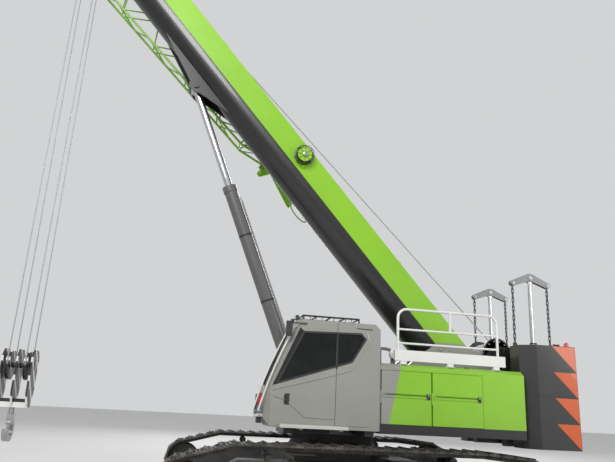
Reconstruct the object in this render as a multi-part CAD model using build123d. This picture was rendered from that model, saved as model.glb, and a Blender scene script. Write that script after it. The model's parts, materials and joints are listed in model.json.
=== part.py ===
from build123d import *
from math import acos, atan2, cos, degrees, hypot, pi, radians, sin, sqrt
import os

os.makedirs("parts", exist_ok=True)

# Telescopic-boom crawler crane. Millimetres, +X to the machine's front, +Y to its left, +Z up.
# It is drawn about the slewing axis and moved at the end, so that the origin is the middle
# of the whole machine's footprint, on the ground.

# ---- clearances ------------------------------------------------------------------------------
RUN_GAP = 0.3          # between faces that pass each other
PIN_GAP = 0.05         # radial, pin in its bore
PANEL_GAP = 6          # round a hinged panel

# ---- undercarriage ---------------------------------------------------------------------------
GAUGE = 4200           # track centre to track centre
SHOE_WIDTH = 700
TRACK_TOP = 1000       # lug tips of the upper run
IDLER_X, IDLER_R = 2730, 400          # front wheel centre, radius out to the lug tips
SPROCKET_X, SPROCKET_R = -2680, 470
TOP_ROLLER_X, TOP_ROLLER_R = 2000, 210
SHOE_PITCH = 228
SHOE_SLIT = 24         # between two shoes
LUG_HEIGHT, LUG_LENGTH = 30, 36
SHOE_PLATE = 25
RAIL_HEIGHT = 65       # chain links under the shoes
RAIL_INNER, RAIL_OUTER = 45, 105      # sideways from the track's centre line
FRAME_HALF = 200       # track frame
FRAME_PLATE = 40
FRAME_END = 2200
FRAME_BOTTOM, FRAME_TOP = 310, 740
ROLLER_R, ROLLER_COUNT, ROLLER_SPACING = 90, 8, 520
TOOTH_COUNT = 13
BEAM_X, BEAM_WIDTH = 800, 460         # two cross beams
BEAM_BOTTOM, BEAM_TOP = 380, 780
CARBODY_X, CARBODY_Y = 950, 850
RING_R, RING_HEIGHT = 760, 110
CARBODY_TOP = 990
LUG_PLATE, TIE_HOLE_R = 40, 35        # tie-down eyes under the cross beams
TIE_Y, TIE_DROP = 1350, 75

# ---- turntable -------------------------------------------------------------------------------
DECK_BOTTOM, DECK_TOP = 1172, 1330
CHEEK_INNER, CHEEK_OUTER = 480, 560   # the two upright frame plates
SIDE_Y = 1500          # half width of the upper structure
HOOD_REAR, CAB_REAR = -3210, -480
FOOT_X, FOOT_Z, FOOT_PIN_R = -2100, 2650, 75
BASE_X, BASE_Z, BASE_PIN_R = 600, 1600, 60      # luffing cylinder's lower pin
BASE_LUG_INNER, BASE_LUG_OUTER = 150, 215
NECK_R = 730           # under the bed plate, on the slewing ring

# ---- hoods -----------------------------------------------------------------------------------
HOOD_TOP, HOOD_EDGE = 2360, 2288      # flat top, and where the bevel meets the side
HOOD_BEVEL = 110
WALL = 40
DOOR_TOP = 2240
DOOR_SPLITS = (-500, -1437, -2398)    # door edges along X, front to rear
HINGE_R, HINGE_PIN_R, HINGE_LENGTH = 10, 6, 90
TANK_FRONT = 1120

# ---- cab -------------------------------------------------------------------------------------
CAB_PROFILE = ((-480, 1205), (1400, 1205), (1500, 1330), (1530, 1760), (1075, 2950),
               (1010, 3012), (-390, 3012), (-480, 2922))
CAB_FLOOR = CAB_PROFILE[0][1]
CAB_INNER_Y = 570
CAB_WALL = 60
# the slanted front's run back for each millimetre up
FRONT_SLOPE = (CAB_PROFILE[3][0] - CAB_PROFILE[4][0]) / (CAB_PROFILE[4][1] - CAB_PROFILE[3][1])
CAB_CORNER_X, CAB_CORNER_Y = 120, 230           # the slanted front corner beside the door
DOOR_SPLIT_X = 305
SIDE_WINDOW = ((1330, 1905), (905, 2800), (-130, 2830), (-215, 2735), (30, 2330))

# ---- counterweight and its lifting gear ------------------------------------------------------
CW_REAR, CW_FRONT, CW_BOTTOM, CW_TOP = -4290, -3250, 1025, 2874
CW_SHOULDER_X, CW_SHOULDER_Y = -3500, 1300
CW_NOTCH_HALF, CW_NOTCH_X = 520, -3760
LIFT_X, LIFT_Y = -3820, 845
LIFT_ROD_R, LIFT_BARREL_R = 40, 85
HAT_Z, HAT_SPAN, HAT_DROP = 4287, 378, 130
HAT_PLATE, HAT_HALF = 16, 45
LIFT_STROKE = 1000

# ---- boom ------------------------------------------------------------------------------------
BOOM_ANGLE = 48.6
BOOM_HALF, BOOM_TOP, BOOM_ARC_W = 400, 545, 58  # half width, top face, centre of the round belly
BOOM_WALL, BOOM_STEP = 12, 30         # plate, and how much smaller the next tube is all round
BOOM_TAIL, BOOM_FRONT = -350, 10300
SECTION_TAIL, SECTION_TAIL_STEP = 500, 150
SECTION_SHOW = 140     # how far each tube stands out of the last when drawn in
TELE_STROKE = 7750
COLLAR_LENGTH, COLLAR_HEIGHT = 90, 22
LUFF_U, LUFF_W = 7540, -490           # the luffing cylinder's upper pin, along and off the boom
LUFF_EYE_R, LUFF_LUG_INNER, LUFF_LUG_OUTER = 108, 155, 190
LUFF_LUG_ROOT = 50     # how far the lugs reach up past the belly into the base tube's wall
BARREL_R, ROD_R, BARREL_LENGTH = 135, 78, 4600
HEAD_REACH = 790       # the head's axle ahead of the last tube's mouth
HEAD_SHEAVE_U, HEAD_SHEAVE_W = BOOM_FRONT + 4 * SECTION_SHOW + HEAD_REACH, -250
HEAD_SHEAVE_R, HEAD_SHEAVE_Y, SHEAVE_WIDTH = 150, 150, 60
AXLE_R = 45
HEAD_PLATE_Y, HEAD_PLATE = 230, 30
ROPE_R = 10
JIB_PIN_R = 30

# ---- hook block ------------------------------------------------------------------------------
BLOCK_SHEAVE_R, BLOCK_SHEAVE_DX, BLOCK_AXLE_Z = 240, 150, 2010
BLOCK_HALF_X, BLOCK_HALF_Y = 262, 225
BLOCK_TOP, BLOCK_BOTTOM = 2290, 1290
HOOK_BOTTOM = 720

# ---- winch -----------------------------------------------------------------------------------
WINCH_X, WINCH_Z, WINCH_R, WINCH_FLANGE_R, WINCH_HALF = -3290, 2790, 200, 300, 390


# ---- building helpers ------------------------------------------------------------------------
def block(x0, x1, y0, y1, z0, z1):
    """A block between two corners."""
    return Pos((x0 + x1) / 2, (y0 + y1) / 2, (z0 + z1) / 2) * Box(abs(x1 - x0), abs(y1 - y0), z1 - z0)


def plate_xz(points, y0, y1):
    """A plate cut to an outline of (x, z) points, from y0 to y1."""
    outline = Polyline([(x, y0, z) for x, z in points], close=True)
    return extrude(make_face(outline), amount=y1 - y0, dir=(0, 1, 0))


def plate_xy(points, z0, z1):
    """A slab cut to an outline of (x, y) points, from z0 to z1."""
    outline = Polyline([(x, y, z0) for x, y in points], close=True)
    return extrude(make_face(outline), amount=z1 - z0, dir=(0, 0, 1))


def bar_y(x, z, radius, y0, y1):
    """A round bar along Y."""
    return Pos(x, (y0 + y1) / 2, z) * Rot(90, 0, 0) * Cylinder(radius, abs(y1 - y0))


def bar_z(x, y, radius, z0, z1):
    """A round bar along Z."""
    return Pos(x, y, (z0 + z1) / 2) * Cylinder(radius, z1 - z0)


def bar(start, end, radius):
    """A round bar between two points."""
    start, end = Vector(*start), Vector(*end)
    ends = (Align.CENTER, Align.CENTER, Align.MIN)
    return Plane(origin=start, z_dir=end - start) * Cylinder(radius, (end - start).length, align=ends)


def joined(pieces):
    """Pieces fused where they touch, and otherwise kept as separate solids of one node."""
    pieces = list(pieces)
    return pieces[0] + pieces[1:] if len(pieces) > 1 else pieces[0]


def mirrored_y(shape):
    """The same piece on the machine's other side."""
    return mirror(shape, about=Plane.XZ)


nodes = {}


# ---- tracks ----------------------------------------------------------------------------------
def belt_corners(depth):
    """Wheels that a track runs round, counter-clockwise seen from -Y: x, z, radius at a depth
    below the lug tips."""
    top = TRACK_TOP - TOP_ROLLER_R
    wheels = ((IDLER_X, IDLER_R, IDLER_R), (TOP_ROLLER_X, top, TOP_ROLLER_R),
              (-TOP_ROLLER_X, top, TOP_ROLLER_R), (SPROCKET_X, SPROCKET_R, SPROCKET_R))
    return [(x, z, r - depth) for x, z, r in wheels]


def belt_spans(depth):
    """The track's line at a depth: for each wheel its centre, radius and the two angles
    between which the track lies on it."""
    wheels = belt_corners(depth)
    normals = []
    for (x0, z0, r0), (x1, z1, r1) in zip(wheels, wheels[1:] + wheels[:1]):
        along = atan2(z1 - z0, x1 - x0)
        normals.append(along - acos((r0 - r1) / hypot(x1 - x0, z1 - z0)))
    spans = []
    for index, (x, z, r) in enumerate(wheels):
        start, end = normals[index - 1], normals[index]
        while end < start:
            end += 2 * pi
        spans.append((x, z, r, start, end))
    return spans


def belt_face(depth, y):
    """The area inside the track's line at a depth."""
    def at(x, z, r, angle):
        return (x + r * cos(angle), y, z + r * sin(angle))

    spans = belt_spans(depth)
    edges = []
    for (x, z, r, a, b), after in zip(spans, spans[1:] + spans[:1]):
        edges.append(ThreePointArc(at(x, z, r, a), at(x, z, r, (a + b) / 2), at(x, z, r, b)))
        edges.append(Line(at(x, z, r, b), at(*after[:3], after[3])))
    return make_face(edges)


def belt_places(depth, count):
    """Evenly spaced places on the track's line: x, z and the outward direction's angle."""
    spans = belt_spans(depth)
    runs = []
    for (x, z, r, a, b), after in zip(spans, spans[1:] + spans[:1]):
        runs.append(("arc", r * (b - a), (x, z, r, a)))
        start = (x + r * cos(b), z + r * sin(b))
        end = (after[0] + after[2] * cos(after[3]), after[1] + after[2] * sin(after[3]))
        runs.append(("line", hypot(end[0] - start[0], end[1] - start[1]), (start, end, b)))
    pitch = sum(run[1] for run in runs) / count
    places = []
    for index in range(count):
        rest = (index + 0.5) * pitch
        for kind, length, data in runs:
            if rest <= length:
                break
            rest -= length
        if kind == "arc":
            x, z, r, a = data
            angle = a + rest / r
            places.append((x + r * cos(angle), z + r * sin(angle), angle))
        else:
            (x0, z0), (x1, z1), angle = data
            share = rest / length
            places.append((x0 + (x1 - x0) * share, z0 + (z1 - z0) * share, angle))
    return places, pitch


def belt_length(depth):
    """Length of the track's line at a depth."""
    places, pitch = belt_places(depth, 1)
    return pitch


def track(y):
    """One track: flat shoes with a lug across each, on two rows of chain links."""
    count = round(belt_length(LUG_HEIGHT) / SHOE_PITCH)
    places, pitch = belt_places(LUG_HEIGHT, count)
    half, lug = (pitch - SHOE_SLIT) / 2, LUG_LENGTH / 2
    root = SHOE_PLATE - 5
    # along the shoe, and outward from its plate's face
    shoe = ((-half, -root), (-half, 0), (-lug, 0), (-lug, LUG_HEIGHT),
            (lug, LUG_HEIGHT), (lug, 0), (half, 0), (half, -root))
    outline = []
    for x, z, angle in places:
        for along, out in shoe:
            outline.append((x - along * sin(angle) + out * cos(angle),
                            z + along * cos(angle) + out * sin(angle)))
    inner = LUG_HEIGHT + SHOE_PLATE
    loop = plate_xz(outline, y - SHOE_WIDTH / 2, y + SHOE_WIDTH / 2)
    loop -= extrude(belt_face(inner, y - SHOE_WIDTH / 2 - 1), amount=SHOE_WIDTH + 2, dir=(0, 1, 0))
    for low, high in ((RAIL_INNER, RAIL_OUTER), (-RAIL_OUTER, -RAIL_INNER)):
        rail = belt_face(inner - 2, y + low) - belt_face(inner + RAIL_HEIGHT, y + low)
        loop += extrude(rail, amount=high - low, dir=(0, 1, 0))
    return loop


BELT = LUG_HEIGHT + SHOE_PLATE + RAIL_HEIGHT


def idler(y):
    """Front wheel of a track, its flange between the chain's two rows of links, on its axle."""
    radius = IDLER_R - BELT - RUN_GAP
    flange = radius + RAIL_HEIGHT / 2
    profile = ((0, -FRAME_HALF), (AXLE_R, -FRAME_HALF), (AXLE_R, -130), (radius, -130), (radius, -38),
               (flange, -30), (flange, 30), (radius, 38), (radius, 130), (AXLE_R, 130),
               (AXLE_R, FRAME_HALF), (0, FRAME_HALF))
    face = make_face(Polyline([(r, side, 0) for r, side in profile], close=True))
    return Pos(IDLER_X, y, IDLER_R) * revolve(face, axis=Axis.Y)


def sprocket(y):
    """Rear driving wheel: teeth between the two rows of links, and the drive's round housing."""
    root = SPROCKET_R - BELT - RUN_GAP
    tip = SPROCKET_R - LUG_HEIGHT - SHOE_PLATE - 12
    outline = []
    step = 2 * pi / TOOTH_COUNT
    for tooth in range(TOOTH_COUNT):
        for share, radius in ((-0.34, root), (-0.14, tip), (0.14, tip), (0.34, root)):
            angle = (tooth + share) * step
            outline.append((SPROCKET_X + radius * cos(angle), SPROCKET_R + radius * sin(angle)))
    ring = plate_xz(outline, y - RAIL_INNER + 9, y + RAIL_INNER - 9)
    treads = bar_y(SPROCKET_X, SPROCKET_R, root - 14, y - 100, y + 100)
    housing = bar_y(SPROCKET_X, SPROCKET_R, 210, y - FRAME_HALF, y + FRAME_HALF + 60)
    cover = bar_y(SPROCKET_X, SPROCKET_R, 130, y + FRAME_HALF, y + FRAME_HALF + 95)
    return joined((ring, treads, housing, cover))


def track_frame(y):
    """Girder inside a track, with cheeks that hold the idler's axle and the drive."""
    bottom, top = FRAME_BOTTOM, FRAME_TOP
    girder = plate_xz(((-FRAME_END, bottom), (FRAME_END, bottom), (FRAME_END + 60, bottom + 60),
                       (FRAME_END + 60, top - 190), (FRAME_END - 250, top), (-FRAME_END + 250, top),
                       (-FRAME_END, top - 110)), y - FRAME_HALF, y + FRAME_HALF)
    cheeks = []
    for side in (-1, 1):
        inner, outer = y + side * (FRAME_HALF - FRAME_PLATE), y + side * FRAME_HALF
        low, high = min(inner, outer), max(inner, outer)
        fork = plate_xz(((FRAME_END - 40, 250), (IDLER_X + 40, 290), (IDLER_X + 110, 340),
                         (IDLER_X + 110, 460), (IDLER_X + 40, 510), (FRAME_END - 40, 620)), low, high)
        fork -= bar_y(IDLER_X, IDLER_R, AXLE_R + PIN_GAP, low - 1, high + 1)
        cheeks.append(fork)
        drive = plate_xz(((-FRAME_END + 40, 270), (SPROCKET_X, 190), (SPROCKET_X - 230, 330),
                          (SPROCKET_X - 230, 610), (SPROCKET_X, 750), (-FRAME_END + 40, 690)), low, high)
        drive -= bar_y(SPROCKET_X, SPROCKET_R, 210 + PIN_GAP, low - 1, high + 1)
        cheeks.append(drive)
    return joined([girder] + cheeks)


def rollers(y):
    """Lower rollers under the frame, in pairs of hanger blocks, and two that carry the upper run."""
    made = []
    axis_z = BELT + ROLLER_R + RUN_GAP
    start = -(ROLLER_COUNT - 1) * ROLLER_SPACING / 2
    for index in range(ROLLER_COUNT):
        x = start + index * ROLLER_SPACING
        wheel = bar_y(x, axis_z, ROLLER_R, y - 125, y + 125)
        hangers = [block(x - 60, x + 60, y + side * 175 - 25, y + side * 175 + 25, axis_z - 45,
                         FRAME_BOTTOM) for side in (-1, 1)]
        shaft = bar_y(x, axis_z, 40, y - 160, y + 160)
        made.append(joined([shaft, wheel] + hangers))
    top_z = TRACK_TOP - BELT
    for x in (-TOP_ROLLER_X + 500, TOP_ROLLER_X - 500):
        radius = (top_z - FRAME_TOP) / 2 - 8
        wheel = bar_y(x, top_z - radius - RUN_GAP, radius, y - 110, y + 110)
        stand = block(x - 45, x + 45, y + 110, y + 150, FRAME_TOP, top_z - radius)
        made.append(joined([wheel, stand]))
    return joined(made)


nodes["track_left"], nodes["track_right"] = track(GAUGE / 2), track(-GAUGE / 2)
for name, make in (("idlers", idler), ("sprockets", sprocket), ("track_frames", track_frame), ("rollers", rollers)):
    piece = make(GAUGE / 2)
    nodes[name] = joined([piece, mirrored_y(piece)])


def tie_eye(side_x, side_y):
    """Tie-down eye that hangs under a cross beam, its plate flush with the beam's end face."""
    outer = side_x * (BEAM_X + BEAM_WIDTH / 2)
    inner = outer - side_x * LUG_PLATE
    y, z = side_y * TIE_Y, BEAM_BOTTOM - TIE_DROP
    ear = block(min(outer, inner), max(outer, inner), y - 2 * TIE_HOLE_R, y + 2 * TIE_HOLE_R, z - 2 * TIE_HOLE_R,
                BEAM_BOTTOM + 1)
    ear = chamfer(ear.edges().filter_by(Axis.X).sort_by(Axis.Z)[:2], TIE_HOLE_R)
    return ear - Pos(outer, y, z) * Rot(0, 90, 0) * Cylinder(TIE_HOLE_R, 3 * LUG_PLATE)


def carbody():
    """Middle of the undercarriage: box, two cross beams out to the track frames, ring seat."""
    reach = GAUGE / 2 - FRAME_HALF
    body = plate_xy(((-CARBODY_X, -CARBODY_Y + 250), (-CARBODY_X + 250, -CARBODY_Y),
                     (CARBODY_X - 250, -CARBODY_Y), (CARBODY_X, -CARBODY_Y + 250),
                     (CARBODY_X, CARBODY_Y - 250), (CARBODY_X - 250, CARBODY_Y),
                     (-CARBODY_X + 250, CARBODY_Y), (-CARBODY_X, CARBODY_Y - 250)), 340, 860)
    beams = []
    for x in (-BEAM_X, BEAM_X):
        low, high = x - BEAM_WIDTH / 2, x + BEAM_WIDTH / 2
        beams.append(block(low, high, -reach, reach, BEAM_BOTTOM, BEAM_TOP))
    eyes = [tie_eye(a, b) for a in (-1, 1) for b in (-1, 1)]
    seat = Pos(0, 0, (860 + CARBODY_TOP) / 2) * Cone(RING_R + 90, RING_R, CARBODY_TOP - 860)
    return joined([body, seat] + beams + eyes)


nodes["carbody"] = carbody()
RING_TOP = CARBODY_TOP + RING_HEIGHT
nodes["slew_ring"] = bar_z(0, 0, RING_R, CARBODY_TOP, RING_TOP) - bar_z(0, 0, RING_R - 190, CARBODY_TOP - 1,
                                                                      RING_TOP + 1)


# ---- turntable -------------------------------------------------------------------------------
def turntable():
    """Bed plate on the slewing ring, two upright cheeks for the boom's foot pin, and the lugs of
    the luffing cylinder."""
    bed = block(-3200, 1150, -CHEEK_OUTER, CHEEK_OUTER, DECK_BOTTOM, DECK_BOTTOM + 60)
    neck = bar_z(0, 0, NECK_R, RING_TOP + RUN_GAP, DECK_BOTTOM)
    outline = ((-3200, DECK_BOTTOM + 30), (-3200, 2560), (-2480, 2890), (-1950, 2890), (-1500, 2560),
               (-900, 2050), (150, 1800), (950, 1800), (1150, 1620), (1150, DECK_BOTTOM + 30))
    cheek = plate_xz(outline, CHEEK_INNER, CHEEK_OUTER)
    cheek += bar_y(FOOT_X, FOOT_Z, 210, CHEEK_INNER, CHEEK_OUTER)
    cheek -= bar_y(FOOT_X, FOOT_Z, FOOT_PIN_R + PIN_GAP, CHEEK_INNER - 1, CHEEK_OUTER + 1)
    lug = plate_xz(((BASE_X - 420, DECK_BOTTOM + 30), (BASE_X - 130, BASE_Z + 60), (BASE_X - 70, BASE_Z + 130),
                    (BASE_X + 70, BASE_Z + 130), (BASE_X + 130, BASE_Z + 60),
                    (BASE_X + 420, DECK_BOTTOM + 30)), BASE_LUG_INNER, BASE_LUG_OUTER)
    lug -= bar_y(BASE_X, BASE_Z, BASE_PIN_R + PIN_GAP, BASE_LUG_INNER - 1, BASE_LUG_OUTER + 1)
    front = block(1090, 1150, -CHEEK_OUTER, CHEEK_OUTER, DECK_BOTTOM + 30, 1440)
    rear = block(-3200, -3150, -CHEEK_OUTER, CHEEK_OUTER, DECK_BOTTOM + 30, 2300)
    return joined([bed, neck, cheek, mirrored_y(cheek), lug, mirrored_y(lug), front, rear])


nodes["turntable"] = turntable()


nodes["side_decks"] = joined([
    block(HOOD_REAR, CAB_REAR - 5, CHEEK_OUTER, SIDE_Y, DECK_BOTTOM, DECK_TOP),
    block(HOOD_REAR, TANK_FRONT, -SIDE_Y, -CHEEK_OUTER, DECK_BOTTOM, DECK_TOP),
])


def cab_support():
    """Two cross beams and a rail that carry the cab beside the frame."""
    beams = [block(x, x + 160, CHEEK_OUTER, SIDE_Y - 60, CAB_FLOOR - 95, CAB_FLOOR) for x in (-400, 1000)]
    rail = block(-400, 1160, CHEEK_OUTER, CHEEK_OUTER + 140, CAB_FLOOR - 95, CAB_FLOOR)
    return joined([rail] + beams) - bar_z(0, 0, NECK_R, RING_TOP, DECK_BOTTOM)


nodes["cab_support"] = cab_support()


# ---- hoods -----------------------------------------------------------------------------------
def hood(front):
    """Hollow hood on the left: bevelled top edge, open below, with one opening for its two doors."""
    def shell(inset, x0, x1):
        inner, outer, foot = CHEEK_OUTER + inset, SIDE_Y - inset, DECK_TOP - (1 if inset else 0)
        outline = ((inner, foot), (outer, foot), (outer, HOOD_EDGE - inset / 2),
                   (outer - HOOD_BEVEL, HOOD_TOP - inset), (inner, HOOD_TOP - inset))
        wire = Polyline([(x0, y, z) for y, z in outline], close=True)
        return extrude(make_face(wire), amount=x1 - x0, dir=(1, 0, 0))

    body = shell(0, HOOD_REAR, front) - shell(WALL, HOOD_REAR + WALL, front - WALL)
    low, high = DOOR_SPLITS[2] - PANEL_GAP / 2, DOOR_SPLITS[0] + HINGE_R + 2
    body -= block(low, high, SIDE_Y - WALL - 1, SIDE_Y + 1, DECK_TOP - 1, DOOR_TOP)
    middle, inside = DOOR_SPLITS[1], SIDE_Y - WALL - PANEL_GAP - 2
    post = block(middle - 14, middle + 32, inside - 50, inside, DECK_TOP, DOOR_TOP + 40)
    head = block(middle - 14, middle + 32, inside - 50, SIDE_Y - WALL + 1, DOOR_TOP + 10, DOOR_TOP + 40)
    return joined([body, post, head, hood_hinge(DOOR_SPLITS[0], SIDE_Y - 8, DOOR_SPLITS[0] + HINGE_R + 4),
                   hood_hinge(DOOR_SPLITS[1], inside - 1, DOOR_SPLITS[1] + 6)])


def hood_door(front, rear):
    """Side door of a hood, a flat panel with a folded handle groove and its half of the hinge."""
    bottom, top = DECK_TOP + PANEL_GAP, DOOR_TOP - PANEL_GAP
    panel = block(rear + PANEL_GAP / 2, front - HINGE_R - 2, SIDE_Y - WALL, SIDE_Y, bottom, top)
    groove = block(rear + 80, front - 90, SIDE_Y - 14, SIDE_Y + 1, 1815, 1850)
    middle = (bottom + top) / 2
    knuckle = bar_z(front, SIDE_Y, HINGE_R, middle - HINGE_LENGTH / 2, middle + HINGE_LENGTH / 2)
    leaf = block(front - HINGE_R - 3, front - 2, SIDE_Y - 8, SIDE_Y, middle - HINGE_LENGTH / 2,
                 middle + HINGE_LENGTH / 2)
    door = joined([panel - groove, knuckle + leaf])
    return door - bar_z(front, SIDE_Y, HINGE_PIN_R + PIN_GAP, middle - HINGE_LENGTH, middle + HINGE_LENGTH)


def hood_hinge(front, reach_y, reach_x):
    """The hood's half of a door hinge: a pin with a knuckle at each end, on an arm to the hood."""
    middle = (DECK_TOP + DOOR_TOP) / 2
    half = HINGE_LENGTH / 2 + RUN_GAP
    pieces = [bar_z(front, SIDE_Y, HINGE_PIN_R, middle - half - 60, middle + half + 60)]
    for low, high in ((-half - 60, -half), (half, half + 60)):
        pieces.append(bar_z(front, SIDE_Y, HINGE_R, middle + low, middle + high))
        pieces.append(block(front, reach_x, reach_y, SIDE_Y, middle + low, middle + high))
    return joined(pieces)


for side, name in ((1, "left"), (-1, "right")):
    shell = hood(CAB_REAR - 5)
    nodes["hood_" + name] = shell if side > 0 else mirrored_y(shell)
    for place, front, rear in (("front", *DOOR_SPLITS[:2]), ("rear", *DOOR_SPLITS[1:])):
        door = hood_door(front, rear + HINGE_R + 4 if place == "front" else rear)
        nodes["hood_door_%s_%s" % (name, place)] = door if side > 0 else mirrored_y(door)

nodes["engine_block"] = block(-3000, -1700, -1360, -720, DECK_TOP, 2120)
tank = block(CAB_REAR + 20, TANK_FRONT, -SIDE_Y, -CHEEK_OUTER, DECK_TOP, 2200)
nodes["fuel_tank"] = fillet(tank.edges().filter_by(Axis.X), 60) + bar_z(800, -1200, 60, 2200, 2240)


# ---- cab -------------------------------------------------------------------------------------
def cab_solid(inset, y0, y1):
    """The cab's outline from y0 to y1, drawn in by an even inset."""
    face = make_face(Polyline([(x, y0, z) for x, z in CAB_PROFILE], close=True))
    if inset:
        face = offset(face, amount=-inset, kind=Kind.INTERSECTION)
    return extrude(face, amount=y1 - y0, dir=(0, 1, 0))


def corner_cut(inset):
    """What the slanted front corner takes off, over the whole height."""
    front, bend = CAB_PROFILE[3]
    bottom, top, side = 1100, 3100, SIDE_Y - inset
    x = front - inset
    outline = ((x - CAB_CORNER_X, side + 1), (x + 400, side + 1), (x + 400, side - CAB_CORNER_Y),
               (x + 8, side - CAB_CORNER_Y))
    low = make_face(Polyline([(px, py, bottom) for px, py in outline], close=True))
    middle = Pos(0, 0, bend - bottom) * low
    high = Pos(-(top - bend) * FRONT_SLOPE, 0, top - bottom) * low
    return loft([low, middle], ruled=True) + loft([middle, high], ruled=True)


def cab():
    """Hollow cab with its window openings; the left side's front half is the door's opening."""
    outer = cab_solid(0, CAB_INNER_Y, SIDE_Y) - corner_cut(0)
    inner = cab_solid(CAB_WALL, CAB_INNER_Y + CAB_WALL, SIDE_Y - CAB_WALL) - corner_cut(CAB_WALL)
    shell = outer - inner
    windows = [
        plate_xz(SIDE_WINDOW, SIDE_Y - CAB_WALL - 1, SIDE_Y + 1),
        block(-600, -300, 700, 1370, 1950, 2820),
        block(-150, 800, 700, 1370, 2900, 3100),
        plate_xz(((1230, 2000), (860, 2820), (-300, 2820), (-300, 2000)), 500, 700),
        plate_xz(((1700, 1860), (1700, 2830), (900, 2830), (1280, 1860)), 670, 1250),
        block(1300, 1700, 670, 1250, 1400, 1700),
    ]
    for window in windows:
        shell -= window
    return shell, inner


shell, room = cab()
door_low, door_high, bend = 1290, 2925, CAB_PROFILE[3][1]
door_front = CAB_PROFILE[3][0] - CAB_CORNER_X - PANEL_GAP
door_space = plate_xz(((DOOR_SPLIT_X, door_low), (door_front, door_low), (door_front, bend),
                       (door_front - (door_high - bend) * FRONT_SLOPE, door_high), (DOOR_SPLIT_X, door_high)),
                      SIDE_Y - CAB_WALL, SIDE_Y + 1)
nodes["cab_door"] = shell & door_space
nodes["cab_shell"] = shell - door_space


def windshield(low, high, set_back, thickness):
    """Front glass that follows the cab's slanted front, between two heights."""
    front, bend = CAB_PROFILE[3]
    x_low, x_high = [front - (z - bend) * FRONT_SLOPE - set_back for z in (low, high)]
    return plate_xz(((x_low, low), (x_low - thickness, low), (x_high - thickness, high), (x_high, high)), 670, 1250)


nodes["cab_glass"] = joined([
    plate_xz(SIDE_WINDOW, SIDE_Y - 30, SIDE_Y - 20),
    block(-450, -440, 700, 1370, 1950, 2820),
    block(-150, 800, 700, 1370, 2970, 2980),
    plate_xz(((1230, 2000), (860, 2820), (-300, 2820), (-300, 2000)), CAB_INNER_Y + 20, CAB_INNER_Y + 30),
    windshield(1860, 2830, 20, 10),
    block(1470, 1480, 670, 1250, 1400, 1700),
])
seat = joined([block(100, 620, 800, 1290, 1560, 1700), block(60, 200, 800, 1290, 1700, 2350),
               block(180, 520, 850, 1240, 1265, 1560), block(80, 180, 900, 1190, 2350, 2560)])
nodes["operator_seat"] = seat
nodes["control_console"] = joined([block(700, 800, 900, 1150, 1265, 1850), block(640, 820, 860, 1190, 1850, 1960)])

nodes["step_board"] = block(98, 1247, SIDE_Y + 1, SIDE_Y + 140, 1205, 1262) + \
    joined([block(x, x + 60, SIDE_Y - 200, SIDE_Y + 100, 1180, 1205) for x in (180, 860)])


# ---- guards and rails ------------------------------------------------------------------------
def roof_guard():
    """Tubular guard over the cab's roof window."""
    rails = [bar((-130, y, 3110), (900, y, 3110), 16) for y in (760, 1300)]
    cross = [bar((x, 760, 3110), (x, 1300, 3110), 14) for x in (-130, 130, 390, 650, 900)]
    feet = [bar((x, y, 3012), (x, y, 3110), 14) for x in (-130, 900) for y in (760, 1300)]
    return joined(rails + cross + feet)


nodes["roof_guard"] = roof_guard()
nodes["cab_mirror"] = joined([block(1120, 1230, SIDE_Y + 20, SIDE_Y + 60, 2700, 2960),
                              block(860, 1180, SIDE_Y, SIDE_Y + 22, 2928, 2946)])


def front_lamp():
    """Marker lamp box on the cab's front, on a dark foot."""
    (x0, z0), (x1, z1) = CAB_PROFILE[2:4]
    low, high = 1390, 1720
    faces = [x0 + (x1 - x0) * (z - z0) / (z1 - z0) for z in (low, high)]
    box = plate_xz(((faces[0], low), (1640, low), (1625, high), (faces[1], high)), 1080, 1250)
    return box + block(faces[0] + 10, 1600, 1100, 1230, 1250, low)


nodes["front_lamp"] = front_lamp()

RAIL_Y, RAIL_R = 1350, 24


def handrail():
    """Rail along the left hood: a closed loop with rounded corners, two inner rails and posts."""
    front, rear, top, foot, bend = -850, -2790, 3360, 2600, 170
    path = FilletPolyline((front, RAIL_Y, foot), (front, RAIL_Y, top), (rear, RAIL_Y, top),
                          (rear, RAIL_Y, foot), radius=bend)
    loop = sweep(Plane(origin=path @ 0, z_dir=path % 0) * Circle(RAIL_R), path=path)
    inner = [bar((front, RAIL_Y, z), (rear, RAIL_Y, z), RAIL_R * 0.8) for z in (2740, 2990)]
    post = bar((-1860, RAIL_Y, 2990), (-1860, RAIL_Y, top), RAIL_R)
    beam = block(rear - 130, front + 60, RAIL_Y - 40, RAIL_Y + 40, 2425, 2615)
    feet = [block(x, x + 120, RAIL_Y - 35, RAIL_Y + 35, HOOD_TOP, 2426) for x in (-2800, -1900, -1010)]
    return joined([loop, post, beam] + inner + feet)


nodes["handrail"] = handrail()


# ---- winch -----------------------------------------------------------------------------------
def winch_drum():
    """Hoist drum with a flange at each end, on its shaft."""
    core = bar_y(WINCH_X, WINCH_Z, WINCH_R, -WINCH_HALF, WINCH_HALF)
    flanges = [bar_y(WINCH_X, WINCH_Z, WINCH_FLANGE_R, min(a, b), max(a, b))
               for a, b in ((WINCH_HALF - 30, WINCH_HALF), (-WINCH_HALF, -WINCH_HALF + 30))]
    shaft = bar_y(WINCH_X, WINCH_Z, 60, -WINCH_HALF - 70, WINCH_HALF + 70)
    return joined([core, shaft] + flanges)


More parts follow.
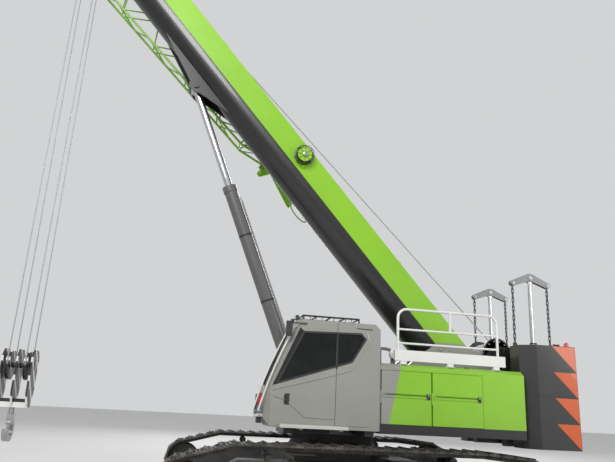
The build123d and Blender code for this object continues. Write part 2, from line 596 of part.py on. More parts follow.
def winch_frame():
    """Two brackets on the turntable's rear that carry the drum's shaft."""
    y0, y1 = WINCH_HALF + 12, CHEEK_INNER
    cheek = plate_xz(((-3200, 2300), (WINCH_X - 130, WINCH_Z - 60), (WINCH_X - 130, WINCH_Z + 60),
                      (WINCH_X - 60, WINCH_Z + 120), (WINCH_X + 60, WINCH_Z + 120), (-3060, WINCH_Z),
                      (-2900, 2480), (-2900, 2300)), y0, y1)
    cheek -= bar_y(WINCH_X, WINCH_Z, 60 + PIN_GAP, y0 - 1, y1 + 1)
    return joined([cheek, mirrored_y(cheek)])


nodes["winch_drum"] = winch_drum()
nodes["winch_frame"] = winch_frame()


# ---- counterweight ---------------------------------------------------------------------------
def counterweight():
    """Block with slanted front shoulders, a notch round the winch and a slot for each lift cylinder."""
    half = ((CW_REAR, SIDE_Y), (CW_SHOULDER_X, SIDE_Y), (CW_FRONT, CW_SHOULDER_Y))
    outline = [(x, y) for x, y in half] + [(x, -y) for x, y in reversed(half)]
    body = plate_xy(outline, CW_BOTTOM, CW_TOP)
    body -= block(CW_NOTCH_X, CW_FRONT + 1, -CW_NOTCH_HALF, CW_NOTCH_HALF, CW_BOTTOM - 1, CW_TOP + 1)
    slot = LIFT_BARREL_R + 45
    for y in (-LIFT_Y, LIFT_Y):
        body -= block(LIFT_X - slot, CW_FRONT + 1, y - slot, y + slot, CW_BOTTOM - 1, CW_TOP + 1)
    lugs = [block(LIFT_X + dx - 35, LIFT_X + dx + 35, y - 20, y + 20, CW_TOP, CW_TOP + 90)
            for dx in (-HAT_SPAN, HAT_SPAN) for y in (-LIFT_Y, LIFT_Y) if dx < 0]
    bridges = [block(LIFT_X + HAT_SPAN - 60, LIFT_X + HAT_SPAN + 60, y - slot - 1, y + slot + 1, CW_TOP - 120,
                     CW_TOP) + block(LIFT_X + HAT_SPAN - 35, LIFT_X + HAT_SPAN + 35, y - 20, y + 20, CW_TOP,
                                     CW_TOP + 90) for y in (-LIFT_Y, LIFT_Y)]
    return joined([body] + lugs + bridges)


nodes["counterweight"] = counterweight()


def lift_hat(y):
    """Cross head of a lifting device: two gull-wing plates with three pins between them."""
    half = ((0, 95), (60, 85), (HAT_SPAN + 40, -HAT_DROP + 50), (HAT_SPAN + 62, -HAT_DROP),
            (HAT_SPAN + 20, -HAT_DROP - 50), (HAT_SPAN - 30, -HAT_DROP - 45), (70, -75), (0, -80))
    outline = [(LIFT_X + x, HAT_Z + z) for x, z in half] + \
              [(LIFT_X - x, HAT_Z + z) for x, z in reversed(half[1:-1])]
    plates = [plate_xz(outline, y + a, y + a + HAT_PLATE) for a in (-HAT_HALF, HAT_HALF - HAT_PLATE)]
    pins = [bar_y(LIFT_X + x, HAT_Z + z, 22, y - HAT_HALF - 8, y + HAT_HALF + 8)
            for x, z in ((0, 0), (-HAT_SPAN, -HAT_DROP), (HAT_SPAN, -HAT_DROP))]
    return joined(plates + pins)


nodes["lift_hats"] = joined([lift_hat(y) for y in (-LIFT_Y, LIFT_Y)])
rod_foot = 1250 + LIFT_STROKE
nodes["lift_rods"] = joined([bar_z(LIFT_X, y, LIFT_ROD_R, rod_foot, HAT_Z - 90) +
                             (block(LIFT_X - 34, LIFT_X + 34, y - 28, y + 28, HAT_Z - 110, HAT_Z + 45) -
                              bar_y(LIFT_X, HAT_Z, 22 + PIN_GAP, y - 50, y + 50))
                             for y in (-LIFT_Y, LIFT_Y)])


def lift_cylinder(y):
    """Barrel of a lifting device, on two arms from the turntable's rear."""
    barrel = bar_z(LIFT_X, y, LIFT_BARREL_R, 1160, 2800)
    barrel -= bar_z(LIFT_X, y, LIFT_ROD_R + 2, 1190, 2701)
    barrel -= bar_z(LIFT_X, y, LIFT_ROD_R + PIN_GAP, 2700, 2801)
    arms = [block(LIFT_X, HOOD_REAR, y - 60, y + 60, z, z + 90) -
            bar_z(LIFT_X, y, LIFT_BARREL_R - 5, z - 1, z + 91) for z in (1180, 1640)]
    return joined([barrel] + arms)


nodes["lift_cylinders"] = joined([lift_cylinder(y) for y in (-LIFT_Y, LIFT_Y)])
CHAIN_LINK, CHAIN_WIDE, CHAIN_THICK = 120, 66, 22


def lift_chain(x, y):
    """Chain from a hat's end down to the counterweight, its links turned by turns."""
    top, bottom = HAT_Z - HAT_DROP - 22 - RUN_GAP, CW_TOP + 90
    count = round((top - bottom) / (CHAIN_LINK * 0.8))
    pitch = (top - bottom) / count
    links = []
    for index in range(count):
        wide, thick = CHAIN_WIDE / 2, CHAIN_THICK / 2
        if index % 2:
            wide, thick = thick, wide
        low = bottom + index * pitch
        links.append(block(x - wide, x + wide, y - min(thick, 27), y + min(thick, 27), low, low + pitch))
    return joined(links)


nodes["lift_chains"] = joined([lift_chain(LIFT_X + dx, y) for dx in (-HAT_SPAN, HAT_SPAN)
                               for y in (-LIFT_Y, LIFT_Y)])


# ---- boom ------------------------------------------------------------------------------------
# Boom pieces are drawn flat, with the foot pin at the origin and the boom along X, then tilted.
BOOM_PLACE = Pos(FOOT_X, 0, FOOT_Z) * Rot(0, -BOOM_ANGLE, 0)


def boom_face(u, inset, belly=0.0):
    """A boom tube's outline at u: flat top and sides over a round belly, inset from the base tube."""
    half, top, low = BOOM_HALF - inset, BOOM_TOP - inset, BOOM_ARC_W - belly
    edges = [Line((u, half, low), (u, half, top)), Line((u, half, top), (u, -half, top)),
             Line((u, -half, top), (u, -half, low)),
             ThreePointArc((u, -half, low), (u, 0, low - half), (u, half, low))]
    return make_face(edges)


def boom_length(u0, u1, inset, belly=0.0):
    """Solid of a boom tube's outline from u0 to u1."""
    return extrude(boom_face(u0, inset, belly), amount=u1 - u0, dir=(1, 0, 0))


def boom_tube(index, tail, front):
    """One boom tube with the collar at its front that the next tube runs through."""
    inset = index * BOOM_STEP
    tube = boom_length(tail, front, inset) - boom_length(tail - 1, front + 1, inset + BOOM_WALL)
    if index < 4:
        ring = boom_length(front - COLLAR_LENGTH, front, inset - COLLAR_HEIGHT)
        ring -= boom_length(front - COLLAR_LENGTH - 1, front + 1, inset + BOOM_STEP - RUN_GAP, 3)
        tube += ring
    return tube


def section_ends(index):
    """Where a boom tube starts and ends when it is drawn in."""
    if index == 0:
        return BOOM_TAIL, BOOM_FRONT
    return SECTION_TAIL + index * SECTION_TAIL_STEP, BOOM_FRONT + index * SECTION_SHOW


def boom_base():
    """Base tube with its foot bosses and the lugs of the luffing cylinder."""
    tube = boom_tube(0, *section_ends(0))
    belly = BOOM_ARC_W - BOOM_HALF
    for side in (-1, 1):
        low, high = sorted((side * (BOOM_HALF - BOOM_WALL), side * (CHEEK_INNER - 5)))
        tube += bar_y(0, 0, 200, low, high)
        low, high = sorted((side * LUFF_LUG_INNER, side * LUFF_LUG_OUTER))
        tube += plate_xz(((LUFF_U - 900, belly + LUFF_LUG_ROOT), (LUFF_U - 160, LUFF_W - 60), (LUFF_U - 90, LUFF_W - 130),
                          (LUFF_U + 90, LUFF_W - 130), (LUFF_U + 180, LUFF_W - 40),
                          (LUFF_U + 1400, belly + LUFF_LUG_ROOT)), low, high)
        tube += bar_y(LUFF_U, LUFF_W, 62, *sorted((side * LUFF_LUG_INNER, side * (LUFF_LUG_OUTER + 25))))
    tube -= bar_y(0, 0, FOOT_PIN_R + PIN_GAP, -BOOM_HALF - 100, BOOM_HALF + 100)
    return tube


nodes["boom_foot_pin"] = bar_y(FOOT_X, FOOT_Z, FOOT_PIN_R, -CHEEK_OUTER - 30, CHEEK_OUTER + 30)
nodes["boom_base"] = BOOM_PLACE * boom_base()
for index in (1, 2, 3):
    nodes["boom_%d" % (index + 1)] = BOOM_PLACE * boom_tube(index, *section_ends(index))


def boom_tip():
    """Innermost tube with the head: two plates for the sheaves, closed by cross plates."""
    tail, front = section_ends(4)
    tube = boom_tube(4, tail, front)
    end = HEAD_SHEAVE_U + 190
    crown = BOOM_TOP + 15
    plates = []
    for side in (-1, 1):
        low, high = sorted((side * HEAD_PLATE_Y, side * (HEAD_PLATE_Y + HEAD_PLATE)))
        plate = plate_xz(((front - 120, -180), (front + 250, -330), (HEAD_SHEAVE_U - 120, HEAD_SHEAVE_W - 190),
                          (HEAD_SHEAVE_U + 90, HEAD_SHEAVE_W - 190), (end, HEAD_SHEAVE_W - 70),
                          (end, HEAD_SHEAVE_W + 110), (HEAD_SHEAVE_U - 100, 330), (HEAD_SHEAVE_U - 250, crown),
                          (HEAD_SHEAVE_U - 420, crown), (front + 60, 400), (front - 120, 400)), low, high)
        plate -= bar_y(HEAD_SHEAVE_U, HEAD_SHEAVE_W, AXLE_R + PIN_GAP, low - 1, high + 1)
        plate -= bar_y(HEAD_SHEAVE_U + 60, HEAD_SHEAVE_W + 260, JIB_PIN_R, low - 1, high + 1)
        plates.append(plate)
    cap = boom_length(front - 20, front + 30, 4 * BOOM_STEP + 2)
    brace = block(front + 60, front + 110, -HEAD_PLATE_Y, HEAD_PLATE_Y, -150, 300)
    top_axle = bar_y(HEAD_SHEAVE_U - 330, crown - 80, 35, -HEAD_PLATE_Y, HEAD_PLATE_Y)
    top_wheel = bar_y(HEAD_SHEAVE_U - 330, crown - 80, 150, -SHEAVE_WIDTH / 2, SHEAVE_WIDTH / 2)
    return joined([tube, cap, brace, top_axle, top_wheel] + plates)


nodes["boom_5"] = BOOM_PLACE * boom_tip()


def grooved_wheel(radius, width, hole):
    """Rope wheel about Y, grooved round its rim, with a bore."""
    half, groove = width / 2, ROPE_R + 4
    rim = radius + groove
    profile = ((hole, -half), (rim, -half), (rim, -groove), (radius - 2, -ROPE_R * 0.6),
               (radius - 2, ROPE_R * 0.6), (rim, groove), (rim, half), (hole, half))
    face = make_face(Polyline([(r, y, 0) for r, y in profile], close=True))
    return revolve(face, axis=Axis.Y)


axle = Pos(HEAD_SHEAVE_U, 0, HEAD_SHEAVE_W) * Rot(90, 0, 0) * Cylinder(AXLE_R, 2 * HEAD_PLATE_Y + 2 * HEAD_PLATE + 20)
nodes["head_axle"] = BOOM_PLACE * axle
head_at = BOOM_PLACE * Pos(HEAD_SHEAVE_U, 0, HEAD_SHEAVE_W)
HEAD_X, HEAD_Z = head_at.position.X, head_at.position.Z
hub = HEAD_PLATE_Y - 5
nodes["head_sheaves"] = Pos(HEAD_X, 0, HEAD_Z) * (joined(
    [Pos(0, y, 0) * grooved_wheel(HEAD_SHEAVE_R, SHEAVE_WIDTH, AXLE_R + PIN_GAP) for y in (-HEAD_SHEAVE_Y, HEAD_SHEAVE_Y)] +
    [Rot(90, 0, 0) * Cylinder(AXLE_R + 30, 2 * hub)]) - Rot(90, 0, 0) * Cylinder(AXLE_R + PIN_GAP, 3 * hub))


# ---- boom fittings ---------------------------------------------------------------------------
def rope_guide(u):
    """Roller guide on the boom's top for the hoist rope."""
    ears = [block(u - 50, u + 50, y - 8, y + 8, BOOM_TOP, BOOM_TOP + 130) for y in (-110, 110)]
    return joined(ears + [bar_y(u, BOOM_TOP + 75, 32, -110, 110)])


nodes["rope_guides"] = BOOM_PLACE * joined([rope_guide(u) for u in (1970, 5020, 8060)])
REEL_U, REEL_W = 4910, 330
nodes["boom_reel"] = joined([BOOM_PLACE * piece for piece in (
    block(REEL_U - 190, REEL_U + 130, BOOM_HALF, BOOM_HALF + 40, REEL_W - 180, REEL_W + 64),
    bar_y(REEL_U, REEL_W, 55, BOOM_HALF + 20, BOOM_HALF + 170),
    bar_y(REEL_U, REEL_W, 150, BOOM_HALF + 60, BOOM_HALF + 150))])

# Lattice jib, folded along the boom's right side: corner tubes at each end as (u, w low, w high)
JIB_Y = (-560, -930)
JIB_NARROW, JIB_WIDE = (6150, -260, 60), (11350, -560, 120)
JIB_BAYS, JIB_CHORD_R, JIB_LACE_R = 9, 26, 15


def jib_corner(share, high, y):
    """A point on one of the jib's four corner tubes."""
    low_end, high_end = JIB_NARROW[2 if high else 1], JIB_WIDE[2 if high else 1]
    return (JIB_NARROW[0] + (JIB_WIDE[0] - JIB_NARROW[0]) * share, y, low_end + (high_end - low_end) * share)


def jib():
    """Tapered lattice jib: four corner tubes, zigzag lacing on each face, end frames and brackets."""
    corners = [(high, y) for high in (False, True) for y in JIB_Y]
    members = [bar(jib_corner(0, *corner), jib_corner(1, *corner), JIB_CHORD_R) for corner in corners]
    faces = (((False, JIB_Y[0]), (True, JIB_Y[0])), ((False, JIB_Y[1]), (True, JIB_Y[1])),
             ((False, JIB_Y[0]), (False, JIB_Y[1])), ((True, JIB_Y[0]), (True, JIB_Y[1])))
    for index, (one, other) in enumerate(faces):
        for bay in range(JIB_BAYS - 1):
            start, end = (one, other) if bay % 2 else (other, one)
            low = (bay + (0.25, 0.4, 0.6, 0.75)[index]) / JIB_BAYS
            members.append(bar(jib_corner(low + 0.004, *start), jib_corner(low + 1 / JIB_BAYS - 0.004, *end),
                               JIB_LACE_R))
    for share in (0.008, 0.992):
        for one, other in faces:
            members.append(bar(jib_corner(share, *one), jib_corner(share, *other), JIB_CHORD_R - 8))
    return joined([BOOM_PLACE * member for member in members])


nodes["stowed_jib"] = jib()


def jib_bracket(u):
    """Bracket between the boom's right side and the jib's upper corner tube."""
    w = jib_corner((u - JIB_NARROW[0]) / (JIB_WIDE[0] - JIB_NARROW[0]), True, 0)[2]
    return block(u - 60, u + 60, JIB_Y[0] + JIB_CHORD_R + RUN_GAP, -BOOM_HALF, w - 45, w + 45)


nodes["jib_brackets"] = BOOM_PLACE * joined([jib_bracket(JIB_NARROW[0] + 350), jib_bracket(BOOM_FRONT - 300)])


# ---- luffing cylinder ------------------------------------------------------------------------
luff_at = BOOM_PLACE * Pos(LUFF_U, 0, LUFF_W)
LUFF_X, LUFF_Z = luff_at.position.X, luff_at.position.Z
LUFF_REACH = hypot(LUFF_X - BASE_X, LUFF_Z - BASE_Z)
LUFF_TILT = degrees(atan2(LUFF_Z - BASE_Z, LUFF_X - BASE_X))
CYLINDER_PLACE = Pos(BASE_X, 0, BASE_Z) * Rot(0, -LUFF_TILT, 0)     # X runs from pin to pin

nodes["luff_base_pin"] = bar_y(BASE_X, BASE_Z, BASE_PIN_R, -BASE_LUG_OUTER - 20, BASE_LUG_OUTER + 20)


def along(radius, u0, u1):
    """A round bar along the cylinder's own line."""
    return Pos((u0 + u1) / 2, 0, 0) * Rot(0, 90, 0) * Cylinder(radius, u1 - u0)


def luff_barrel():
    """Barrel with its lower eye and the gland at its mouth."""
    barrel = along(BARREL_R, 60, BARREL_LENGTH) + along(BARREL_R + 12, BARREL_LENGTH - 120, BARREL_LENGTH)
    eye = bar_y(0, 0, 150, -BASE_LUG_INNER + 5, BASE_LUG_INNER - 5)
    barrel = barrel + eye - along(ROD_R + 22, 210, BARREL_LENGTH - 100)
    barrel -= along(ROD_R + PIN_GAP, BARREL_LENGTH - 101, BARREL_LENGTH + 1)
    return barrel - bar_y(0, 0, BASE_PIN_R + PIN_GAP, -BASE_LUG_INNER, BASE_LUG_INNER)


nodes["luff_barrel"] = CYLINDER_PLACE * luff_barrel()
# The piston tube makes the part of the stroke below the rest angle, and the rod the part above it.
LOW_REACH = hypot(LUFF_U - (BASE_X - FOOT_X), LUFF_W - (BASE_Z - FOOT_Z))
ROD_FOOT = LUFF_REACH - (LOW_REACH - 250)
PISTON_LENGTH = 1700
nodes["luff_piston"] = CYLINDER_PLACE * (along(ROD_R + 20, ROD_FOOT, ROD_FOOT + PISTON_LENGTH) -
                                         along(ROD_R + PIN_GAP, ROD_FOOT - 1, ROD_FOOT + PISTON_LENGTH + 1))
rod_shape = along(ROD_R, ROD_FOOT, LUFF_REACH - 60)
rod_shape += bar_y(LUFF_REACH, 0, LUFF_EYE_R, -LUFF_LUG_INNER + 8, LUFF_LUG_INNER - 8)
nodes["luff_rod"] = CYLINDER_PLACE * rod_shape


# ---- falls and hook --------------------------------------------------------------------------
def falls():
    """Four rope falls from the head sheaves to the block's sheaves."""
    ropes = []
    for dx in (-1, 1):
        for dy in (-1, 1):
            top = (HEAD_X + dx * (HEAD_SHEAVE_R + ROPE_R + PIN_GAP), dy * HEAD_SHEAVE_Y, HEAD_Z)
            foot = (HEAD_X + dx * BLOCK_SHEAVE_DX, dy * (BLOCK_SHEAVE_R + ROPE_R + PIN_GAP), BLOCK_AXLE_Z)
            ropes.append(bar(top, foot, ROPE_R))
    return joined(ropes)


nodes["hoist_falls"] = falls()


def hook_block():
    """Block: two sheaves between side plates, cheek plates at the ends, and the cross head."""
    x0 = HEAD_X
    parts = []
    for dx in (-BLOCK_SHEAVE_DX, BLOCK_SHEAVE_DX):
        parts.append(Pos(x0 + dx, 0, BLOCK_AXLE_Z) * Rot(0, 0, 90) * grooved_wheel(BLOCK_SHEAVE_R, SHEAVE_WIDTH, 5))
    parts.append(Pos(x0, 0, BLOCK_AXLE_Z) * Rot(0, 90, 0) * Cylinder(45, 2 * BLOCK_HALF_X + 40))
    outline = ((-BLOCK_HALF_Y, BLOCK_BOTTOM + 260), (-90, BLOCK_BOTTOM), (90, BLOCK_BOTTOM),
               (BLOCK_HALF_Y, BLOCK_BOTTOM + 260), (BLOCK_HALF_Y, BLOCK_TOP - 120), (120, BLOCK_TOP), (-120, BLOCK_TOP),
               (-BLOCK_HALF_Y, BLOCK_TOP - 120))
    for x in (x0 - BLOCK_HALF_X, x0 - 15, x0 + BLOCK_HALF_X - 30):
        wire = Polyline([(x, y, z) for y, z in outline], close=True)
        parts.append(extrude(make_face(wire), amount=30, dir=(1, 0, 0)))
    parts.append(block(x0 - BLOCK_HALF_X, x0 + BLOCK_HALF_X, -90, 90, BLOCK_BOTTOM, BLOCK_BOTTOM + 150))
    return joined(parts)


nodes["hook_block"] = hook_block()


def hook():
    """Swivelling load hook: shank and a tapering bowl, drawn flat in the YZ plane."""
    shank = bar_z(HEAD_X, 0, 45, BLOCK_BOTTOM - 130, BLOCK_BOTTOM - RUN_GAP)
    path_z = HOOK_BOTTOM + 190
    bowl = Pos(HEAD_X, 0, path_z) * Rot(0, 90, 0) * (Cylinder(190, 100) - Cylinder(95, 101))
    mouth = block(HEAD_X - 60, HEAD_X + 60, 40, 200, path_z + 20, path_z + 260)
    neck = plate_xz(((HEAD_X - 50, path_z + 120), (HEAD_X + 50, path_z + 120), (HEAD_X + 50, BLOCK_BOTTOM - 100),
                     (HEAD_X - 50, BLOCK_BOTTOM - 100)), -60, 45)
    return joined([shank, bowl - mouth, neck])


nodes["load_hook"] = hook()

# ---- move the origin to the middle of the footprint, and write the pieces ----------------------
boxes = [shape.bounding_box() for shape in nodes.values()]
SHIFT_X = -(min(box.min.X for box in boxes) + max(box.max.X for box in boxes)) / 2
for name, shape in nodes.items():
    moved = Pos(SHIFT_X, 0, 0) * shape
    moved.label = name
    export_step(moved, "parts/%s.step" % name)
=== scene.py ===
import json
from math import acos, atan2, cos, hypot, pi, radians, sin

import bmesh
import bpy
from mathutils import Matrix, Vector


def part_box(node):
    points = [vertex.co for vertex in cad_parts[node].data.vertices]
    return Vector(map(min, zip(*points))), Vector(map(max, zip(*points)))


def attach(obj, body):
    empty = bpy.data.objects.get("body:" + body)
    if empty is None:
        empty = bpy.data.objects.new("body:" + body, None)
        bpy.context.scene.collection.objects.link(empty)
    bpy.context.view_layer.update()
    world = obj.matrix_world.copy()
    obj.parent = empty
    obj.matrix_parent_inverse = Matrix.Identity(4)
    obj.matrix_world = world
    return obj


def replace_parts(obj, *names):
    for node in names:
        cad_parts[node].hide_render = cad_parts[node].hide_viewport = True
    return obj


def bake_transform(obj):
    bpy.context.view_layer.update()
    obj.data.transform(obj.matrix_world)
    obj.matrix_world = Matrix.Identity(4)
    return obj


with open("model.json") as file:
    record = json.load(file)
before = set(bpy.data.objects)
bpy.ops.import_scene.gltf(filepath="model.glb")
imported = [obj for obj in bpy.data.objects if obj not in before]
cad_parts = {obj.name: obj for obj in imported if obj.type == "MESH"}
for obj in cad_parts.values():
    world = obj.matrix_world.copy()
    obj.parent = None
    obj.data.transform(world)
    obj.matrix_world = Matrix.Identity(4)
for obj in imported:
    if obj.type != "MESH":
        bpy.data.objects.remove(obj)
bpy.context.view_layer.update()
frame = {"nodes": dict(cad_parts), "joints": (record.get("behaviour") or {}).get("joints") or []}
joints = {joint["name"]: joint for joint in frame["joints"]}


# ---- places
def middle(node):
    low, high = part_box(node)
    return (Vector(low) + Vector(high)) / 2


SLEW_X = middle("slew_ring").x
FOOT = Vector(joints["boom_raise"]["pos_m"])
ALONG = Vector(joints["telescope_2"]["axis"]).normalized()
ABOVE = Vector((-ALONG.z, 0, ALONG.x))
RAM = Vector(joints["luff_tilt_high"]["pos_m"])
RAM_ALONG = Vector(joints["luff_stroke_high"]["axis"]).normalized()
RAM_ABOVE = Vector((-RAM_ALONG.z, 0, RAM_ALONG.x))


def deck(x, y, z):
    """Metres from the slewing axis, on the ground: forward, left, up."""
    return Vector((SLEW_X + x, y, z))


def boom(u, y, w):
    """Metres along the boom from its foot pin, left, and square to it upward."""
    return FOOT + ALONG * u + ABOVE * w + Vector((0, y, 0))


def ram(u, y, w):
    """Metres along the luffing cylinder from its lower pin, left, and square to it."""
    return RAM + RAM_ALONG * u + RAM_ABOVE * w + Vector((0, y, 0))


# ---- shapes
class Form:
    """Gathers simple solids into one mesh, each part with the number of its material."""

    def __init__(self):
        self.points, self.faces, self.spots = [], [], []

    def add(self, points, faces, spot=0):
        base = len(self.points)
        self.points += [tuple(p) for p in points]
        self.faces += [[i + base for i in face] for face in faces]
        self.spots += [spot] * len(faces)

    def box(self, low, high, at=deck, spot=0):
        (x0, y0, z0), (x1, y1, z1) = low, high
        points = [at(x, y, z) for x in (x0, x1) for y in (y0, y1) for z in (z0, z1)]
        self.add(points, [(0, 1, 3, 2), (4, 6, 7, 5), (0, 4, 5, 1), (2, 3, 7, 6), (0, 2, 6, 4), (1, 5, 7, 3)], spot)

    def slab(self, outline, y0, y1, at=deck, spot=0):
        """A plate cut to an outline in the plane square to Y."""
        n = len(outline)
        points = [at(p, y, q) for y in (y0, y1) for p, q in outline]
        faces = [list(range(n)), list(range(2 * n - 1, n - 1, -1))]
        faces += [(i, (i + 1) % n, n + (i + 1) % n, n + i) for i in range(n)]
        self.add(points, faces, spot)

    def tube(self, path, radius, sides=8, spot=0, closed=False):
        """A round bar along a path of points."""
        path = [Vector(p) for p in path]
        count = len(path)
        rings, side = [], None
        for i, here in enumerate(path):
            before = path[i - 1] if (i or closed) else here
            after = path[(i + 1) % count] if (i < count - 1 or closed) else here
            way = (after - before).normalized()
            if side is None:
                side = way.orthogonal().normalized()
            side = (side - way * side.dot(way)).normalized()
            up = way.cross(side)
            reach = radius[i] if isinstance(radius, (list, tuple)) else radius
            rings.append([here + side * cos(2 * pi * k / sides) * reach + up * sin(2 * pi * k / sides) * reach
                          for k in range(sides)])
        points = [p for ring in rings for p in ring]
        faces = []
        for i in range(count if closed else count - 1):
            j = (i + 1) % count
            faces += [(i * sides + k, i * sides + (k + 1) % sides, j * sides + (k + 1) % sides, j * sides + k)
                      for k in range(sides)]
        if not closed:
            faces += [list(range(sides))[::-1], [(count - 1) * sides + k for k in range(sides)]]
        self.add(points, faces, spot)

    def turned(self, centre, axis, profile, sides=24, spot=0, caps=True):
        """A turned part about an axis, from (radius, distance) pairs, with its ends closed by caps if wanted."""
        axis = Vector(axis).normalized()
        side = axis.orthogonal().normalized()
        up = axis.cross(side)
        centre = Vector(centre)
        points = [centre + axis * d + (side * cos(2 * pi * k / sides) + up * sin(2 * pi * k / sides)) * r
                  for r, d in profile for k in range(sides)]
        faces = [(i * sides + k, i * sides + (k + 1) % sides, (i + 1) * sides + (k + 1) % sides, (i + 1) * sides + k)
                 for i in range(len(profile) - 1) for k in range(sides)]
        if caps:
            faces += [list(range(sides))[::-1], [(len(profile) - 1) * sides + k for k in range(sides)]]
        self.add(points, faces, spot)

    def bolt(self, at, way, size, spot=0):
        """A hexagon head, size across its corners, on a washer."""
        self.turned(at, way, ((size * 0.62, 0), (size * 0.62, size * 0.1), (size * 0.5, size * 0.1),
                              (size * 0.5, size * 0.36), (size * 0.4, size * 0.42)), 6, spot)


def hoop(count, place):
    """Points round a circle; place takes the cosine and sine of each."""
    return [place(cos(2 * pi * k / count), sin(2 * pi * k / count)) for k in range(count)]


def make(name, form, body, finishes, bevel=0.0):
    """One piece from a form, riding on a body, or free where that is None."""
    mesh = bpy.data.meshes.new(name)
    mesh.from_pydata(form.points, [], form.faces)
    work = bmesh.new()
    work.from_mesh(mesh)
    bmesh.ops.recalc_face_normals(work, faces=work.faces)
    work.to_mesh(mesh)
    work.free()
    piece = bpy.data.objects.new(name, mesh)
    bpy.context.scene.collection.objects.link(piece)
    for finish in finishes if isinstance(finishes, (list, tuple)) else [finishes]:
        mesh.materials.append(finish)
    for face, spot in zip(mesh.polygons, form.spots):
        face.material_index = spot
    mesh.shade_smooth()
    mesh.set_sharp_from_angle(angle=radians(32))
    if bevel:
        rounding = piece.modifiers.new("edges", "BEVEL")
        rounding.width, rounding.segments, rounding.limit_method = bevel, 2, "ANGLE"
        rounding.angle_limit = radians(40)
        rounding.harden_normals = True
    if body:
        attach(piece, body)
    return piece


# ---- materials
class Look:
    """A node material built up step by step."""

    def __init__(self, name, **values):
        self.finish = bpy.data.materials.new(name)
        self.finish.use_nodes = True
        self.tree = self.finish.node_tree
        self.shader = self.tree.nodes["Principled BSDF"]
        self.place = self.node("ShaderNodeTexCoord").outputs["Object"]
        for key, value in values.items():
            self.set(key.replace("_", " "), value)

    def node(self, kind, **settings):
        made = self.tree.nodes.new(kind)
        for key, value in settings.items():
            setattr(made, key, value)
        return made

    def plug(self, socket, value):
        if isinstance(value, bpy.types.NodeSocket):
            self.tree.links.new(value, socket)
        elif isinstance(value, (tuple, list)) and len(value) == 3 and socket.type == "RGBA":
            socket.default_value = (*value, 1)
        else:
            socket.default_value = value

    def set(self, name, value):
        self.plug(self.shader.inputs[name], value)

    def maths(self, how, a, b=0.0, c=0.0, clamp=False):
        made = self.node("ShaderNodeMath", operation=how, use_clamp=clamp)
        for socket, value in zip(made.inputs, (a, b, c)):
            self.plug(socket, value)
        return made.outputs[0]

    def texture(self, kind, scale, **settings):
        """A texture of one scale, laid by the object's own coordinates."""
        made = self.node("ShaderNodeTex" + kind, **settings)
        self.tree.links.new(self.place, made.inputs["Vector"])
        made.inputs["Scale"].default_value = scale
        return made

    def noise(self, scale, detail=3.0, rough=0.55, stretch=None):
        made = self.node("ShaderNodeTexNoise")
        place = self.place
        if stretch:
            mapping = self.node("ShaderNodeMapping")
            mapping.inputs["Scale"].default_value = stretch
            self.tree.links.new(place, mapping.inputs["Vector"])
            place = mapping.outputs[0]
        self.tree.links.new(place, made.inputs["Vector"])
        made.inputs["Scale"].default_value = scale
        made.inputs["Detail"].default_value = detail
        made.inputs["Roughness"].default_value = rough
        return made.outputs[0]

    def span(self, value, low, high, to_low=0.0, to_high=1.0):
        made = self.node("ShaderNodeMapRange")
        made.clamp = True
        for name, number in (("Value", value), ("From Min", low), ("From Max", high), ("To Min", to_low),
                             ("To Max", to_high)):
            self.plug(made.inputs[name], number)
        return made.outputs[0]

    def mix(self, share, a, b):
        made = self.node("ShaderNodeMix", data_type="RGBA")
        self.plug(made.inputs[0], share)
        self.plug(made.inputs[6], a)
        self.plug(made.inputs[7], b)
        return made.outputs[2]

    def dot(self, way, place=None):
        made = self.node("ShaderNodeVectorMath", operation="DOT_PRODUCT")
        self.tree.links.new(place or self.place, made.inputs[0])
        made.inputs[1].default_value = tuple(way)
        return made.outputs["Value"]

    def past(self, way, point):
        """1 on the far side of a plane through a point."""
        return self.maths("GREATER_THAN", self.dot(way), Vector(way).dot(Vector(point)))

    def facing(self, way):
        """How much the surface faces a direction."""
        return self.dot(way, self.node("ShaderNodeTexCoord").outputs["Normal"])

    def bump(self, height, strength=0.2, distance=0.002):
        made = self.node("ShaderNodeBump")
        made.inputs["Strength"].default_value = strength
        made.inputs["Distance"].default_value = distance
        self.tree.links.new(height, made.inputs["Height"])
        if self.shader.inputs["Normal"].is_linked:
            self.tree.links.new(self.shader.inputs["Normal"].links[0].from_socket, made.inputs["Normal"])
        self.set("Normal", made.outputs[0])


DUST = (0.16, 0.14, 0.115)


def weathered(look, colour, rough=0.34, dust=0.35, tone=0.06, peel=0.04):
    """Sprayed paint: small drift of tone, orange peel, streaks, dust where it can lie, scuffs."""
    drift = look.span(look.noise(0.9, 4), 0.3, 0.7, 1 - tone, 1 + tone)
    shade = look.node("ShaderNodeVectorMath", operation="SCALE")
    look.plug(shade.inputs[0], colour if isinstance(colour, bpy.types.NodeSocket) else Vector(colour))
    look.plug(shade.inputs["Scale"], drift)
    streaks = look.span(look.noise(5.0, 5, 0.6, stretch=(3.0, 3.0, 0.25)), 0.52, 0.78, 0, 0.22)
    lies = look.span(look.facing((0, 0, 1)), 0.35, 0.95, 0, 1)
    blotch = look.span(look.noise(2.3, 6, 0.65), 0.36, 0.66, 0.15, 1)
    low = look.span(look.dot((0, 0, 1)), 0.2, 2.6, 0.5, 0.0)
    cover = look.maths("MULTIPLY", look.maths("ADD", look.maths("ADD", lies, low), streaks), blotch)
    cover = look.maths("MULTIPLY", cover, dust, clamp=True)
    look.set("Base Color", look.mix(cover, shade.outputs[0], DUST))
    fine = look.span(look.noise(38.0, 4), 0.3, 0.7, -0.05, 0.06)
    look.set("Roughness", look.maths("ADD", look.maths("MULTIPLY_ADD", cover, 0.35, rough), fine, clamp=True))
    look.bump(look.noise(260.0, 2), peel, 0.001)
    return look.finish


